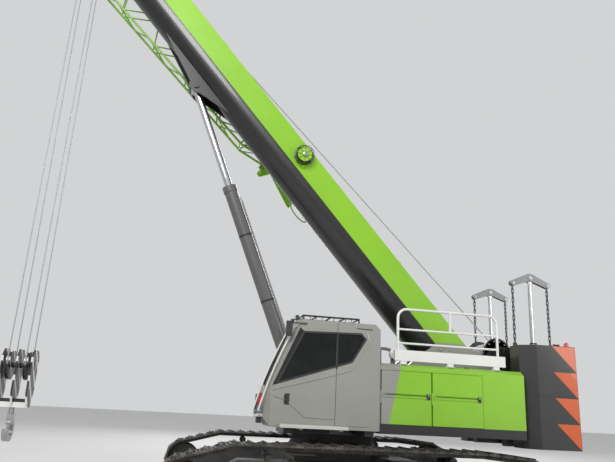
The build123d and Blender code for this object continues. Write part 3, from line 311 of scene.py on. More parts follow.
GREEN, GREY, BLACK = (0.190, 0.42, 0.009), (0.235, 0.235, 0.215), (0.008, 0.008, 0.0082)
WHITE = (0.60, 0.60, 0.575)


def paint(name, colour, **more):
    look = Look(name, IOR=1.5, Coat_Weight=0.25, Coat_Roughness=0.12)
    return weathered(look, colour, **more)


green = paint("green_paint", GREEN)
grey = paint("grey_paint", GREY)
black = paint("black_paint", (0.007, 0.007, 0.0072), rough=0.45, dust=0.10)
white = paint("white_paint", WHITE)
frame_black = paint("frame_black", (0.012, 0.012, 0.0125), rough=0.5, dust=0.42)

hat_grey = paint("hat_grey_paint", (0.15, 0.152, 0.155), rough=0.4)
step_white = paint("step_paint", (0.47, 0.47, 0.45), rough=0.5)
dark_grey = paint("dark_grey_paint", (0.085, 0.085, 0.082))


def hood_paint():
    """Grey beside the cab, then green past a slanting line, on the left hood."""
    look = Look("hood_two_tone", Coat_Weight=0.25)
    edge = deck(-0.65, 0, 1.337) - deck(-0.86, 0, 2.287)
    square = Vector((edge.z, 0, -edge.x)).normalized()
    colour = look.mix(look.past(square, deck(-0.65, 0, 1.337)), GREY, GREEN)
    return weathered(look, colour)


def boom_paint():
    """Green upper part, black round belly, split along the weld line."""
    look = Look("boom_two_tone", Coat_Weight=0.25)
    return weathered(look, look.mix(look.past(ABOVE, boom(0, 0, 0.062)), BLACK, GREEN))


hood_tone, boom_tone = hood_paint(), boom_paint()


def bare(name, colour, rough, metal=1.0, grain=(1, 1, 1), rust=0.0):
    """Bare metal with a grain along one way, smears and, if asked, some rust."""
    look = Look(name, Metallic=metal)
    smear = look.span(look.noise(6.0, 5), 0.35, 0.7, 0.0, 1.0)
    lines = look.noise(70.0, 3, stretch=grain)
    tone = look.mix(look.span(lines, 0.3, 0.7, 0.0, 1.0), tuple(0.82 * c for c in colour), colour)
    tone = look.mix(look.maths("MULTIPLY", smear, 0.25), tone, tuple(0.55 * c for c in colour))
    if rust:
        spots = look.span(look.noise(9.0, 8, 0.7), 0.56, 0.66, 0.0, rust)
        tone = look.mix(spots, tone, (0.085, 0.035, 0.016))
        look.set("Metallic", look.maths("SUBTRACT", metal, spots, clamp=True))
    look.set("Base Color", tone)
    look.set("Roughness", look.maths("MULTIPLY_ADD", smear, 0.18, rough))
    look.bump(lines, 0.05, 0.001)
    return look.finish


steel = bare("steel", (0.42, 0.42, 0.43), 0.32)
chrome = bare("chrome_rod", (0.66, 0.66, 0.68), 0.13, grain=(0.3, 0.3, 0.3))
zinc = bare("zinc_bolt", (0.36, 0.36, 0.37), 0.38)
link_steel = bare("chain_steel", (0.13, 0.13, 0.135), 0.42, rust=0.35)


def track_look():
    """Cast and rolled track steel: worn bright on the lug tips, earth and rust in the corners."""
    look = Look("track_steel", Metallic=0.75)
    grit = look.noise(22.0, 7, 0.7)
    earth = look.span(look.noise(3.2, 7, 0.68), 0.46, 0.62, 0.0, 0.75)
    tone = look.mix(look.span(grit, 0.3, 0.75, 0, 1), (0.032, 0.031, 0.031), (0.075, 0.072, 0.070))
    tone = look.mix(look.span(look.noise(8.0, 6, 0.7), 0.55, 0.7, 0, 0.5), tone, (0.06, 0.032, 0.018))
    tone = look.mix(earth, tone, (0.085, 0.070, 0.052))
    look.set("Base Color", tone)
    look.set("Metallic", look.maths("SUBTRACT", 0.7, earth, clamp=True))
    look.set("Roughness", look.span(grit, 0.2, 0.8, 0.42, 0.72))
    look.bump(grit, 0.35, 0.004)
    return look.finish


track_steel = track_look()


def glass_look():
    look = Look("tinted_glass", IOR=1.5)
    film = look.span(look.noise(3.0, 6), 0.4, 0.75, 0.0, 1.0)
    look.set("Base Color", look.mix(film, (0.004, 0.005, 0.005), (0.012, 0.014, 0.013)))
    look.set("Roughness", look.span(film, 0, 1, 0.03, 0.10))
    look.set("Alpha", 0.94)
    look.set("Specular IOR Level", 0.3)
    return look.finish


glass = glass_look()


def rubber_look(name, colour, rough=0.62):
    look = Look(name)
    grain = look.noise(180.0, 4)
    look.set("Base Color", look.mix(look.span(look.noise(7, 5), 0.35, 0.7, 0, 0.6), colour,
                                    tuple(c * 1.9 + 0.006 for c in colour)))
    look.set("Roughness", look.span(grain, 0.3, 0.7, rough - 0.08, rough + 0.08))
    look.bump(grain, 0.18, 0.0015)
    return look.finish


rubber = rubber_look("rubber", (0.012, 0.012, 0.012))
glass_edge = rubber_look("glass_edge", (0.005, 0.006, 0.006), 0.30)
shade = rubber_look("gap_shadow", (0.006, 0.006, 0.006), 0.8)
plastic = rubber_look("black_plastic", (0.016, 0.016, 0.017), 0.48)


def rope_look():
    """Laid wire rope: dark steel with slanting strands."""
    look = Look("wire_rope", Metallic=0.6)
    turn = look.texture("Wave", 26.0, bands_direction="DIAGONAL")
    turn.inputs["Distortion"].default_value = 0.6
    look.set("Base Color", look.mix(turn.outputs["Fac"], (0.16, 0.16, 0.165), (0.46, 0.46, 0.47)))
    look.set("Roughness", 0.45)
    look.bump(turn.outputs["Fac"], 0.4, 0.004)
    return look.finish


rope = rope_look()


def cloth_look():
    """Woven seat cover."""
    look = Look("seat_cloth")
    weave = [look.texture("Wave", 90.0, bands_direction=way).outputs["Fac"] for way in ("X", "Z")]
    cloth = look.maths("MULTIPLY", *weave)
    look.set("Base Color", look.mix(cloth, (0.018, 0.018, 0.020), (0.055, 0.055, 0.060)))
    look.set("Roughness", 0.9)
    look.set("Sheen Weight", 0.3)
    look.bump(cloth, 0.4, 0.002)
    return look.finish


cloth = cloth_look()


def reflective(name, colour):
    """Reflective sheet with its cell pattern and a slight lift at scuffs."""
    look = Look(name)
    cells = look.texture("Voronoi", 110.0, feature="DISTANCE_TO_EDGE")
    web = look.span(cells.outputs["Distance"], 0.02, 0.08, 0.0, 1.0)
    tone = look.mix(web, tuple(c * 0.72 for c in colour), colour)
    scuffs = look.span(look.noise(7.0, 7, 0.7), 0.60, 0.72, 0.0, 0.5)
    look.set("Base Color", look.mix(scuffs, tone, tuple(c * 0.45 for c in colour)))
    look.set("Roughness", 0.35)
    look.set("Coat Weight", 0.4)
    look.bump(web, 0.1, 0.001)
    return look.finish


orange = reflective("orange_sheet", (0.50, 0.070, 0.002))


def lamp_look(name, colour):
    look = Look(name, IOR=1.49)
    ribs = look.texture("Wave", 40.0, bands_direction="Z")
    look.set("Base Color", look.mix(ribs.outputs["Fac"], tuple(c * 0.8 for c in colour), colour))
    look.set("Roughness", 0.18)
    look.set("Coat Weight", 0.6)
    look.bump(ribs.outputs["Fac"], 0.3, 0.002)
    return look.finish


red_lens, clear_lens = lamp_look("red_lens", (0.62, 0.06, 0.075)), lamp_look("clear_lens", (0.62, 0.64, 0.66))
grey_lens = lamp_look("grey_lens", (0.16, 0.17, 0.17))


def striped():
    """White and black slanting stripes on the hook block's plates."""
    look = Look("block_stripes", Coat_Weight=0.2)
    rise = look.dot((0, -1.0, 1.0))
    band = look.maths("GREATER_THAN", look.maths("FRACT", look.maths("MULTIPLY", rise, 3.1)), 0.72)
    return weathered(look, look.mix(band, BLACK, WHITE), dust=0.25)


stripes = striped()

# ---- the carried-over nodes
FINISH = {
    frame_black: "carbody slew_ring track_frames",
    track_steel: "track_left track_right idlers sprockets rollers",
    black: "side_decks cab_support engine_block winch_frame winch_drum counterweight roof_guard luff_base_pin",
    grey: "turntable cab_shell cab_door fuel_tank",
    hat_grey: "lift_hats lift_cylinders",
    step_white: "step_board",
    dark_grey: "luff_barrel",
    stripes: "hook_block",
    green: "hood_right hood_door_right_front hood_door_right_rear jib_brackets boom_reel stowed_jib rope_guides",
    hood_tone: "hood_left hood_door_left_front hood_door_left_rear",
    boom_tone: "boom_base boom_2 boom_3 boom_4 boom_5",
    white: "handrail",
    chrome: "luff_rod luff_piston lift_rods",
    steel: "boom_foot_pin head_axle head_sheaves load_hook",
    glass: "cab_glass",
    plastic: "cab_mirror front_lamp control_console",
    cloth: "operator_seat",
    rope: "hoist_falls",
    link_steel: "lift_chains",
}
for finish, names in FINISH.items():
    for name in names.split():
        part = frame["nodes"][name]
        part.data.materials.clear()
        part.data.materials.append(finish)


# ---- undercarriage details
def ring_of_bolts(form, centre, way, radius, count, size, spot=0):
    way = Vector(way).normalized()
    side = way.orthogonal().normalized()
    up = way.cross(side)
    for k in range(count):
        angle = 2 * pi * k / count
        form.bolt(Vector(centre) + (side * cos(angle) + up * sin(angle)) * radius, way, size, spot)


WHEELS = ((2.73, 0.4, 0.4), (2.0, 0.79, 0.21), (-2.0, 0.79, 0.21), (-2.68, 0.47, 0.47))


def belt(depth, count):
    """Even places round a track at a depth under the lug tips: x, z and the outward angle."""
    wheels = [(x, z, r - depth) for x, z, r in WHEELS]
    square = []
    for (x0, z0, r0), (x1, z1, r1) in zip(wheels, wheels[1:] + wheels[:1]):
        square.append(atan2(z1 - z0, x1 - x0) - acos((r0 - r1) / hypot(x1 - x0, z1 - z0)))
    runs = []
    for i, (x, z, r) in enumerate(wheels):
        a, b = square[i - 1], square[i]
        while b < a:
            b += 2 * pi
        after = wheels[(i + 1) % 4]
        runs.append((r * (b - a), x, z, r, a, None))
        p = (x + r * cos(b), z + r * sin(b))
        q = (after[0] + after[2] * cos(b), after[1] + after[2] * sin(b))
        runs.append((hypot(q[0] - p[0], q[1] - p[1]), *p, q[0] - p[0], q[1] - p[1], b))
    total = sum(run[0] for run in runs)
    places = []
    for index in range(count):
        rest = (index + 0.5) * total / count
        for length, a, b, c, d, angle in runs:
            if rest <= length:
                break
            rest -= length
        if angle is None:
            places.append((a + c * cos(d + rest / c), b + c * sin(d + rest / c), d + rest / c))
        else:
            places.append((a + c * rest / length, b + d * rest / length, angle))
    return places, total


for side, name in ((1, "left"), (-1, "right")):
    y = side * 2.1
    count = round(belt(0.03, 1)[1] / 0.228)
    bolts, links = Form(), Form()
    for x, z, angle in belt(0.03, count)[0]:
        out, along = (cos(angle), sin(angle)), (-sin(angle), cos(angle))
        way = Vector((out[0], 0, out[1]))
        for dy in (-0.09, 0.09):
            for da in (-0.055, 0.055):
                bolts.bolt(deck(x + along[0] * da, y + dy, z + along[1] * da), way, 0.034)
        for edge in (-1, 1):
            low = deck(x + along[0] * 0.07, y + edge * 0.335, z + along[1] * 0.07)
            bolts.tube([low, low - Vector((along[0], 0, along[1])) * 0.14], 0.012, 6)
    for x, z, angle in belt(0.087, count)[0]:
        for edge in (-1, 1):
            centre = deck(x, y + edge * 0.105, z)
            links.turned(centre, (0, edge, 0), ((0.024, -0.002), (0.024, 0.008), (0.016, 0.012)), 10)
            links.turned(centre, (0, edge, 0), ((0.036, -0.001), (0.036, 0.004)), 12)
    make("shoe_bolts_" + name, bolts, "undercarriage", track_steel)
    make("link_pins_" + name, links, "undercarriage", track_steel)
    hubs = Form()
    for wheel_x, wheel_z, radius, bolts_on in ((2.73, 0.4, 0.055, 6), (-2.68, 0.47, 0.17, 12)):
        face = y + side * 0.2 + (side * 0.095 if wheel_x < 0 else 0)
        hubs.turned(deck(wheel_x, face, wheel_z), (0, side, 0),
                    ((radius, 0), (radius, 0.012), (radius * 0.7, 0.02)), 20)
        ring_of_bolts(hubs, deck(wheel_x, face + side * 0.012, wheel_z), (0, side, 0), radius * 0.82, bolts_on, 0.02)
    for k in range(8):
        x = -1.82 + 0.52 * k
        hubs.turned(deck(x, y + side * 0.2, 0.21), (0, side, 0), ((0.045, 0), (0.045, 0.006), (0.03, 0.012)), 14)
        for dx in (-0.04, 0.04):
            hubs.bolt(deck(x + dx, y + side * 0.2, 0.26), (0, side, 0), 0.022)
    make("hub_caps_" + name, hubs, "undercarriage", track_steel)
    steps = Form()
    for x in (-1.5, -0.6, 0.6, 1.5):
        steps.slab(((x - 0.16, 0.66), (x - 0.14, 0.50), (x + 0.14, 0.50), (x + 0.16, 0.66)), y + side * 0.2,
                   y + side * 0.212)
        for dx, z in ((-0.12, 0.63), (-0.108, 0.53), (0.12, 0.63), (0.108, 0.53)):
            steps.bolt(deck(x + dx, y + side * 0.212, z), (0, side, 0), 0.024)
    make("frame_covers_" + name, steps, "undercarriage", frame_black, 0.002)

under = Form()
ring_of_bolts(under, deck(0, 0, 0.99), (0, 0, 1), 0.80, 40, 0.034)
for side_x in (-1, 1):
    for side_y in (-1, 1):
        for dy in (0.9, 1.2, 1.5):
            under.slab(((side_x * 1.03, 0.42), (side_x * 1.03, 0.74), (side_x * 1.045, 0.74), (side_x * 1.045, 0.42)),
                       side_y * dy - 0.012, side_y * dy + 0.012)
make("carbody_bolts", under, "undercarriage", frame_black)
teeth = Form()
for k in range(96):
    angle = 2 * pi * k / 96
    c, s_ = cos(angle), sin(angle)
    teeth.box((-0.011, -0.008, 1.0), (0.011, 0.008, 1.09),
              lambda a, b, z, c=c, s_=s_: deck(c * (0.762 + b) - s_ * a, s_ * (0.762 + b) + c * a, z))
make("ring_seal_ribs", teeth, "undercarriage", rubber)


# ---- cab
SIDE = 1.5  # the upper structure's flat side, at cab and hoods
FRONT = (1.53, 1.76)
SLOPE = (1.53 - 1.075) / (2.95 - 1.76)
SIDE_WINDOW = ((1.33, 1.905), (0.905, 2.8), (-0.13, 2.83), (-0.215, 2.735), (0.03, 2.33))


def inset(outline, amount):
    """An outline drawn in by an even margin."""
    n, made = len(outline), []
    area = sum(outline[i][0] * outline[(i + 1) % n][1] - outline[(i + 1) % n][0] * outline[i][1] for i in range(n))
    sign = 1 if area > 0 else -1
    for i in range(n):
        p, q, r = (Vector(outline[(i + k) % n]) for k in (-1, 0, 1))
        a, b = (q - p).normalized(), (r - q).normalized()
        na, nb = Vector((-a.y, a.x)) * sign, Vector((-b.y, b.x)) * sign
        made.append(tuple(q + (na + nb) * (amount / (1 + na.dot(nb)))))
    return made


def band(form, outline, width, y0, y1):
    """A flat frame that follows an outline on its inner side."""
    inner = inset(outline, width)
    n = len(outline)
    for i in range(n):
        j = (i + 1) % n
        form.slab([outline[i], outline[j], inner[j], inner[i]], y0, y1)


seals = Form()
band(seals, inset(SIDE_WINDOW, -0.012), 0.034, SIDE - 0.02, SIDE + 0.004)
seals.slab(((0.322, 2.21), (0.322, 2.815), (0.288, 2.815), (0.288, 2.20)), SIDE - 0.02, SIDE + 0.003)
make("window_seals", seals, "superstructure", rubber)

split = Form()
for z0, z1 in ((1.215, 2.205), (2.83, 2.99)):
    split.box((0.300, SIDE - 0.004, z0), (0.308, SIDE + 0.0012, z1))
split.box((-0.30, SIDE - 0.004, 1.262), (0.302, SIDE + 0.0012, 1.267))
split.slab(((-0.34, 2.902), (-0.04, 2.912), (-0.03, 2.926), (-0.33, 2.920)), SIDE - 0.004, SIDE + 0.0014)
make("door_split", split, "superstructure", shade)

creases = Form()
for path in (((1.36, 1.70), (1.18, 1.66), (0.83, 1.385), (0.33, 1.375)),
             ((1.40, 1.80), (0.60, 2.02), (0.31, 2.105)), ((0.29, 2.11), (0.02, 2.20), (-0.27, 2.70), (-0.22, 2.86))):
    for (xa, za), (xb, zb) in zip(path, path[1:]):
        dx, dz = xb - xa, zb - za
        size = hypot(dx, dz)
        nx, nz = -dz / size * 0.022, dx / size * 0.022
        rows = [(xa + nx, 0.0006, za + nz), (xb + nx, 0.0006, zb + nz), (xb, 0.010, zb), (xa, 0.010, za),
                (xa - nx * 0.5, 0.0006, za - nz * 0.5), (xb - nx * 0.5, 0.0006, zb - nz * 0.5)]
        creases.add([deck(a, SIDE + out, b) for a, out, b in rows], [(0, 1, 2, 3), (3, 2, 5, 4)])
make("door_creases", creases, "superstructure", grey)

handle = Form()
handle.slab(((1.10, 1.57), (1.175, 1.57), (1.19, 1.60), (1.19, 1.73), (1.165, 1.75), (1.10, 1.75)), SIDE - 0.002,
            SIDE + 0.008)
handle.tube([deck(1.145, SIDE + out, z) for out, z in ((0.006, 1.60), (0.035, 1.62), (0.035, 1.70), (0.006, 1.72))],
            0.011, 8)
handle.turned(deck(1.145, SIDE + 0.006, 1.655), (0, 1, 0), ((0.014, 0), (0.014, 0.006), (0.008, 0.008)), 12)
make("door_handle", handle, "superstructure", plastic, 0.002)


def shield(t, y, out):
    """A place on the slanting windshield: height, left, and forward of it."""
    return deck(FRONT[0] - (t - FRONT[1]) * SLOPE + out, y, t)


front = Form()
for y0, y1, z0, z1 in ((0.66, 0.685, 1.85, 2.84), (1.235, 1.262, 1.85, 2.84), (0.66, 1.262, 1.85, 1.875),
                       (0.66, 1.262, 2.815, 2.84)):
    front.box((-0.004, y0, z0), (0.008, y1, z1), lambda out, y, z: shield(z, y, out))
front.tube([shield(1.80, 0.96, 0.035), shield(1.90, 1.02, 0.028), shield(2.45, 1.16, 0.022)], 0.008, 6)
front.tube([shield(2.05, 1.13, 0.020), shield(2.80, 1.19, 0.020)], 0.007, 6)
front.turned(shield(1.80, 0.96, 0.0), (1, 0, 0.38), ((0.03, 0), (0.03, 0.03), (0.018, 0.045)), 12)
make("windshield_trim", front, "superstructure", rubber)

rails = Form()
for y in (1.30, 1.42):
    depth = 0.03 if y < 1.4 else -0.045
    path = [shield(z, y, depth + 0.045 * sin(pi * (z - 1.45) / 1.45))
            for z in (1.45, 1.7, 1.95, 2.2, 2.45, 2.7, 2.88)]
    rails.tube([path[0] - Vector((0.04, 0, 0))] + path + [path[-1] - Vector((0.05, 0, 0))], 0.014, 10)
make("front_grab_rails", rails, "superstructure", white)

lamp = Form()
low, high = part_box("front_lamp")
y0, y1 = low[1] - 0.004, high[1] + 0.004
LAMP = ((1.350, 1.405, 0), (1.405, 1.560, 3), (1.560, 1.735, 1), (1.735, 1.875, 2))
for z0, z1, spot in LAMP:
    outer = [1.642 - (z - 1.35) * 0.125 for z in (z0, z1)]
    inner = [1.46 + max(0.0, 0.03 - abs(z - 1.6) * 0.06) for z in (z0, z1)]
    lamp.slab(((inner[0], z0 + 0.003), (outer[0], z0 + 0.003), (outer[1], z1 - 0.003), (inner[1], z1 - 0.003)),
              y0, y1, spot=spot)
    lamp.slab(((inner[0], z0 - 0.003), (outer[0] - 0.006, z0 - 0.003), (outer[0] - 0.006, z0 + 0.003),
               (inner[0], z0 + 0.003)), y0 + 0.004, y1 - 0.004, spot=4)
lamp.bolt(deck(1.56, y1, 1.375), (0, 1, 0), 0.018, spot=4)
make("front_lamp_lenses", lamp, "superstructure", [white, red_lens, clear_lens, grey_lens, plastic], 0.006)

cover = Form()
cover.slab(((1.332, 1.895), (1.400, 1.872), (0.972, 2.870), (0.905, 2.812)), SIDE - 0.004, SIDE + 0.0015)
make("pillar_cover", cover, "superstructure", glass_edge, 0.001)

inside = Form()
for side in (-1, 1):
    y = 1.045 + side * 0.31
    inside.box((0.15, y - 0.05, 1.72), (0.58, y + 0.05, 1.80), spot=1)
    inside.box((0.42, y - 0.07, 1.80), (0.62, y + 0.07, 1.86))
    inside.tube([deck(0.55, y, 1.85), deck(0.57, y, 1.95), deck(0.58, y, 2.02)], (0.012, 0.014, 0.024), 10, 0)
    inside.box((0.14, y - 0.03, 1.58), (0.20, y + 0.03, 1.74))
inside.box((0.90, 0.95, 1.275), (1.00, 1.12, 1.31))
for y in (0.98, 1.10):
    inside.slab(((1.02, 1.30), (1.20, 1.44), (1.205, 1.43), (1.03, 1.29)), y - 0.04, y + 0.04)
inside.slab(((0.86, 1.95), (0.92, 2.16), (0.94, 2.155), (0.88, 1.945)), 0.70, 0.92)
make("cab_controls", inside, "superstructure", [plastic, cloth], 0.006)
pads = Form()
pads.box((0.10, 0.83, 1.70), (0.60, 1.26, 1.73))
pads.slab(((0.20, 1.75), (0.225, 1.76), (0.215, 2.33), (0.195, 2.34)), 0.84, 1.25)
pads.slab(((0.18, 2.38), (0.20, 2.39), (0.20, 2.54), (0.18, 2.55)), 0.92, 1.17)
make("seat_cushions", pads, "superstructure", cloth, 0.012)

mirror = Form()
low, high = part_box("cab_mirror")
mirror.box((low[0] - SLEW_X + 0.265, high[1] - 0.045, low[2] + 0.015),
           (low[0] - SLEW_X + 0.262, high[1] - 0.006, low[2] + 0.245))
make("mirror_glass", mirror, "superstructure", chrome)
lights = Form()
for y in (0.78, 1.28):
    lights.box((0.98, y - 0.07, 3.02), (1.04, y + 0.07, 3.10))
    lights.box((1.036, y - 0.06, 3.03), (1.048, y + 0.06, 3.09), spot=1)
for k in range(6):
    lights.box((-0.12 + 0.17 * k, 0.72, 3.004), (-0.09 + 0.17 * k, 1.36, 3.020))
low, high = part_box("roof_guard")
gx0, gx1, gz = low[0] - SLEW_X + 0.03, high[0] - SLEW_X - 0.03, high[2] - 0.012
for k in range(9):
    x = gx0 + (gx1 - gx0) * (k + 0.5) / 9
    lights.tube([deck(x - 0.05, low[1] + 0.02, gz), deck(x + 0.05, high[1] - 0.02, gz)], 0.007, 6)
make("roof_lamps", lights, "superstructure", [plastic, clear_lens], 0.004)
tread = Form()
for k in range(22):
    tread.box((0.12 + 0.05 * k, 1.53, 1.261), (0.135 + 0.05 * k, 1.63, 1.266))
make("step_tread", tread, "superstructure", steel)


# ---- hoods
ROOF, RAIL_Y = 2.359, 1.35  # just inside the hood's top, and the rail's line
DOORS = {"front": (-0.503, -1.434), "rear": (-1.440, -2.395)}
for side, name in ((1, "left"), (-1, "right")):
    for part, (x0, x1) in DOORS.items():
        y, body = side * SIDE, "hood_door_%s_%s" % (name, part)
        a, b = x0 - 0.035, x1 + 0.095
        door = Form()
        door.box((b, y - 0.002, 1.829), (a, y + side * 0.0012, 1.836))
        door.slab(((b, 1.782), (a, 1.782), (a + 0.004, 1.796), (b - 0.004, 1.796)), y, y + side * 0.010, spot=1)
        door.slab(((b, 1.836), (a, 1.836), (a, 1.845), (b, 1.845)), y, y + side * 0.007, spot=1)
        door.slab(((a, 1.782), (a + 0.007, 1.790), (a + 0.007, 1.838), (a, 1.845)), y, y + side * 0.007, spot=1)
        door.slab(((b - 0.062, 1.768), (b + 0.010, 1.768), (b + 0.010, 1.862), (b - 0.062, 1.862)), y - 0.001,
                  y + side * 0.008, spot=2)
        door.turned(deck(b - 0.03, y + side * 0.006, 1.835), (0, side, 0),
                    ((0.015, 0), (0.015, 0.006), (0.009, 0.009)), 14, spot=3)
        door.slab(((b - 0.042, 1.785), (b - 0.018, 1.785), (b - 0.018, 1.815), (b - 0.042, 1.815)), y,
                  y + side * 0.020, spot=2)
        if side < 0 and part == "rear":
            for k in range(11):
                z = 1.42 + 0.033 * k
                door.slab(((b + 0.1, z), (a - 0.12, z), (a - 0.12, z + 0.022), (b + 0.1, z + 0.022)), y,
                          y + side * (0.008 if k % 2 else 0.006), spot=0 if k % 2 else 1)
        tone = hood_tone if side > 0 else green
        make("door_fittings_%s_%s" % (name, part), door, body, [shade, tone, plastic, zinc], 0.0015)

hood = Form()
for k in range(9):
    x = -1.05 - 0.07 * k
    for y in (0.72, -1.08):
        hood.box((x - 0.022, y, ROOF), (x + 0.022, y + 0.36, 2.372))
hood.turned(deck(-2.35, 0.95, ROOF), (0, 0, 1), ((0.06, 0), (0.06, 0.03), (0.045, 0.038), (0.045, 0.05)), 20, spot=2)
hood.turned(deck(-2.62, -1.0, ROOF), (0, 0, 1), ((0.075, 0), (0.075, 0.16), (0.07, 0.165)), 24, spot=3)
hood.tube([deck(-2.62, -1.0, 2.5), deck(-2.62, -1.0, 2.60), deck(-2.66, -1.0, 2.66), deck(-2.74, -1.0, 2.70)],
          0.05, 16, spot=3)
for dx in (-0.10, 0.10):
    for y in (0.70, 1.10):
        hood.bolt(deck(-2.35 + dx, y, ROOF), (0, 0, 1), 0.022, spot=1)
make("hood_fittings", hood, "superstructure", [green, zinc, plastic, steel], 0.002)

between = Form()
between.turned(deck(-0.90, 0.95, 2.57), (0, 1, 0), ((0.085, 0), (0.092, 0.01), (0.092, 0.07), (0.075, 0.08),
                                                    (0.04, 0.085)), 32)
between.turned(deck(-0.90, 1.035, 2.57), (0, 1, 0), ((0.025, 0), (0.025, 0.012), (0.014, 0.016)), 16, spot=2)
between.box((-0.94, 0.90, 2.358), (-0.86, 0.948, 2.57), spot=1)
between.tube([deck(-0.62, 1.02, ROOF), deck(-0.62, 1.02, 2.60), deck(-0.64, 1.0, 2.655), deck(-0.72, 0.985, 2.66),
              deck(-0.84, 0.985, 2.64)], 0.030, 14, spot=1)
between.turned(deck(-0.62, 1.02, ROOF), (0, 0, 1), ((0.055, 0), (0.055, 0.012), (0.04, 0.02)), 16, spot=1)
make("air_intake", between, "superstructure", [white, hat_grey, zinc], 0.002)

rail = Form()
for x in (-2.74, -1.84, -0.95):
    rail.turned(deck(x, RAIL_Y, ROOF), (0, 0, 1), ((0.085, 0), (0.085, 0.014), (0.055, 0.018), (0.045, 0.045)), 20)
    for angle in (0.8, 2.4, 3.9, 5.5):
        rail.bolt(deck(x + 0.066 * cos(angle), RAIL_Y + 0.066 * sin(angle), 2.373), (0, 0, 1), 0.02, spot=1)
for x, z in ((-0.85, 2.99), (-2.79, 2.99), (-0.85, 2.74), (-2.79, 2.74)):
    rail.turned(deck(x, RAIL_Y, z - 0.03), (0, 0, 1), ((0.0265, 0), (0.0265, 0.06)), 16)
make("rail_fittings", rail, "superstructure", [white, zinc])

# ---- turntable
frame_parts = Form()
for side in (1, -1):
    frame_parts.turned(deck(-2.1, side * 0.592, 2.65), (0, side, 0), ((0.10, 0), (0.10, 0.018), (0.085, 0.024)), 28)
    ring_of_bolts(frame_parts, deck(-2.1, side * 0.562, 2.65), (0, side, 0), 0.15, 8, 0.03, spot=1)
    frame_parts.turned(deck(0.6, side * 0.237, 1.6), (0, side, 0), ((0.075, 0), (0.075, 0.014), (0.06, 0.02)), 24)
    ring_of_bolts(frame_parts, deck(0.6, side * 0.217, 1.6), (0, side, 0), 0.10, 6, 0.024, spot=1)
    for x in (-2.75, -2.35, -1.95, -1.55):
        frame_parts.bolt(deck(x, side * 0.562, 1.60), (0, side, 0), 0.034, spot=1)
make("pin_plates", frame_parts, "superstructure", [grey, zinc], 0.002)

hoses = Form()
for y in (-0.30, -0.25, 0.25, 0.30):
    hoses.tube([deck(-1.2, y * 1.2, 1.36), deck(-0.6, y, 1.40), deck(-0.1, y, 1.48), deck(0.22, y * 0.9, 1.58)],
               0.019, 10)
    hoses.turned(deck(0.22, y * 0.9, 1.58), (1, 0, 0.25), ((0.026, 0), (0.026, 0.04), (0.02, 0.06)), 6, spot=1)
make("deck_hoses", hoses, "superstructure", [rubber, zinc])

# ---- winch and its rope
WINCH_X, WINCH_Z, LAY_R, WRAPS = -3.29, 2.79, 0.210, 17
ROPE_R = 0.0105
drum = Form()
path = []
for k in range(WRAPS * 20 + 1):
    angle = 2 * pi * k / 20
    path.append(deck(WINCH_X + LAY_R * cos(angle), -0.345 + 0.69 * k / (WRAPS * 20), WINCH_Z + LAY_R * sin(angle)))
drum.tube(path, ROPE_R, 6)
for side in (-1, 1):
    for r in (0.27, 0.30):
        drum.turned(deck(WINCH_X, side * 0.391, WINCH_Z), (0, side, 0), ((r, -0.004), (r, 0.004)), 48, spot=1)
    ring_of_bolts(drum, deck(WINCH_X, side * 0.395, WINCH_Z), (0, side, 0), 0.235, 12, 0.026, spot=2)
make("rope_wraps", drum, "winch", [rope, black, zinc])
motor = Form()
motor.turned(deck(WINCH_X, -0.482, WINCH_Z), (0, -1, 0),
             ((0.10, 0), (0.10, 0.05), (0.075, 0.06), (0.075, 0.17), (0.055, 0.19)), 28)
ring_of_bolts(motor, deck(WINCH_X, -0.530, WINCH_Z), (0, -1, 0), 0.088, 8, 0.02, spot=1)
for dz in (-0.03, 0.03):
    motor.tube([deck(WINCH_X, -0.64, WINCH_Z + dz), deck(-3.20, -0.66, 2.72 + dz), deck(-3.05, -0.62, 2.55 + dz),
                deck(-2.98, -0.60, 2.40 + dz)], 0.014, 8, spot=2)
make("winch_motor", motor, "superstructure", [black, zinc, rubber])


def bend(name, form, start, end):
    """A piece of rope, left free of any body, its transform baked into the mesh."""
    piece = make(name, form, None, rope)
    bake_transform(piece)
    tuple(start)
    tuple(end)


def line(start, end, steps=24):
    """A straight run of rope."""
    form = Form()
    form.tube([start.lerp(end, k / steps) for k in range(steps + 1)], ROPE_R, 8)
    return form


LIE = 0.545 + 0.075 + 0.032 + 0.011  # the rope's height off the boom's line, on the guide rollers
leaving, first = deck(-3.44, 0, 2.955), boom(8.06, 0, LIE)
half = leaving.lerp(first, 0.10)
bend("hoist_rope_low", line(leaving, half), leaving, half)
bend("hoist_rope_mid", line(half, first, 60), half, half.lerp(first, 0.15))
last = boom(9.6, 0, LIE)
make("hoist_rope_base", line(first, last, 6), "boom_base", rope)
HEAD_U = 11.65  # the head's axle along the boom
tip_wheel = boom(HEAD_U - 0.33, 0, 0.56 - 0.08 + 0.161)
stations = [last] + [last.lerp(tip_wheel, s) for s in (0.25, 0.5, 0.75, 1.0)]
SECTIONS = ["boom_base", "boom_2", "boom_3", "boom_4", "boom_5"]
for i in range(4):
    bend("hoist_rope_%d" % (i + 2), line(stations[i], stations[i + 1], 6),
         stations[i], stations[i + 1])


# ---- counterweight
def chain(form, x, y, low, high):
    """Round-steel chain hanging straight down, each link a quarter turn from the last."""
    count = round((high - low) / 0.092)
    pitch = (high - low) / count
    wire, wide = 0.011, 0.019
    half = pitch / 2 + wire - wide
    for index in range(count):
        z = low + (index + 0.5) * pitch

        def place(c, s):
            a, b = wide * c, wide * s + (half if s >= 0 else -half)
            return deck(x + a, y, z + b) if index % 2 else deck(x, y + a, z + b)

        form.tube(hoop(16, place), wire, 7, closed=True)


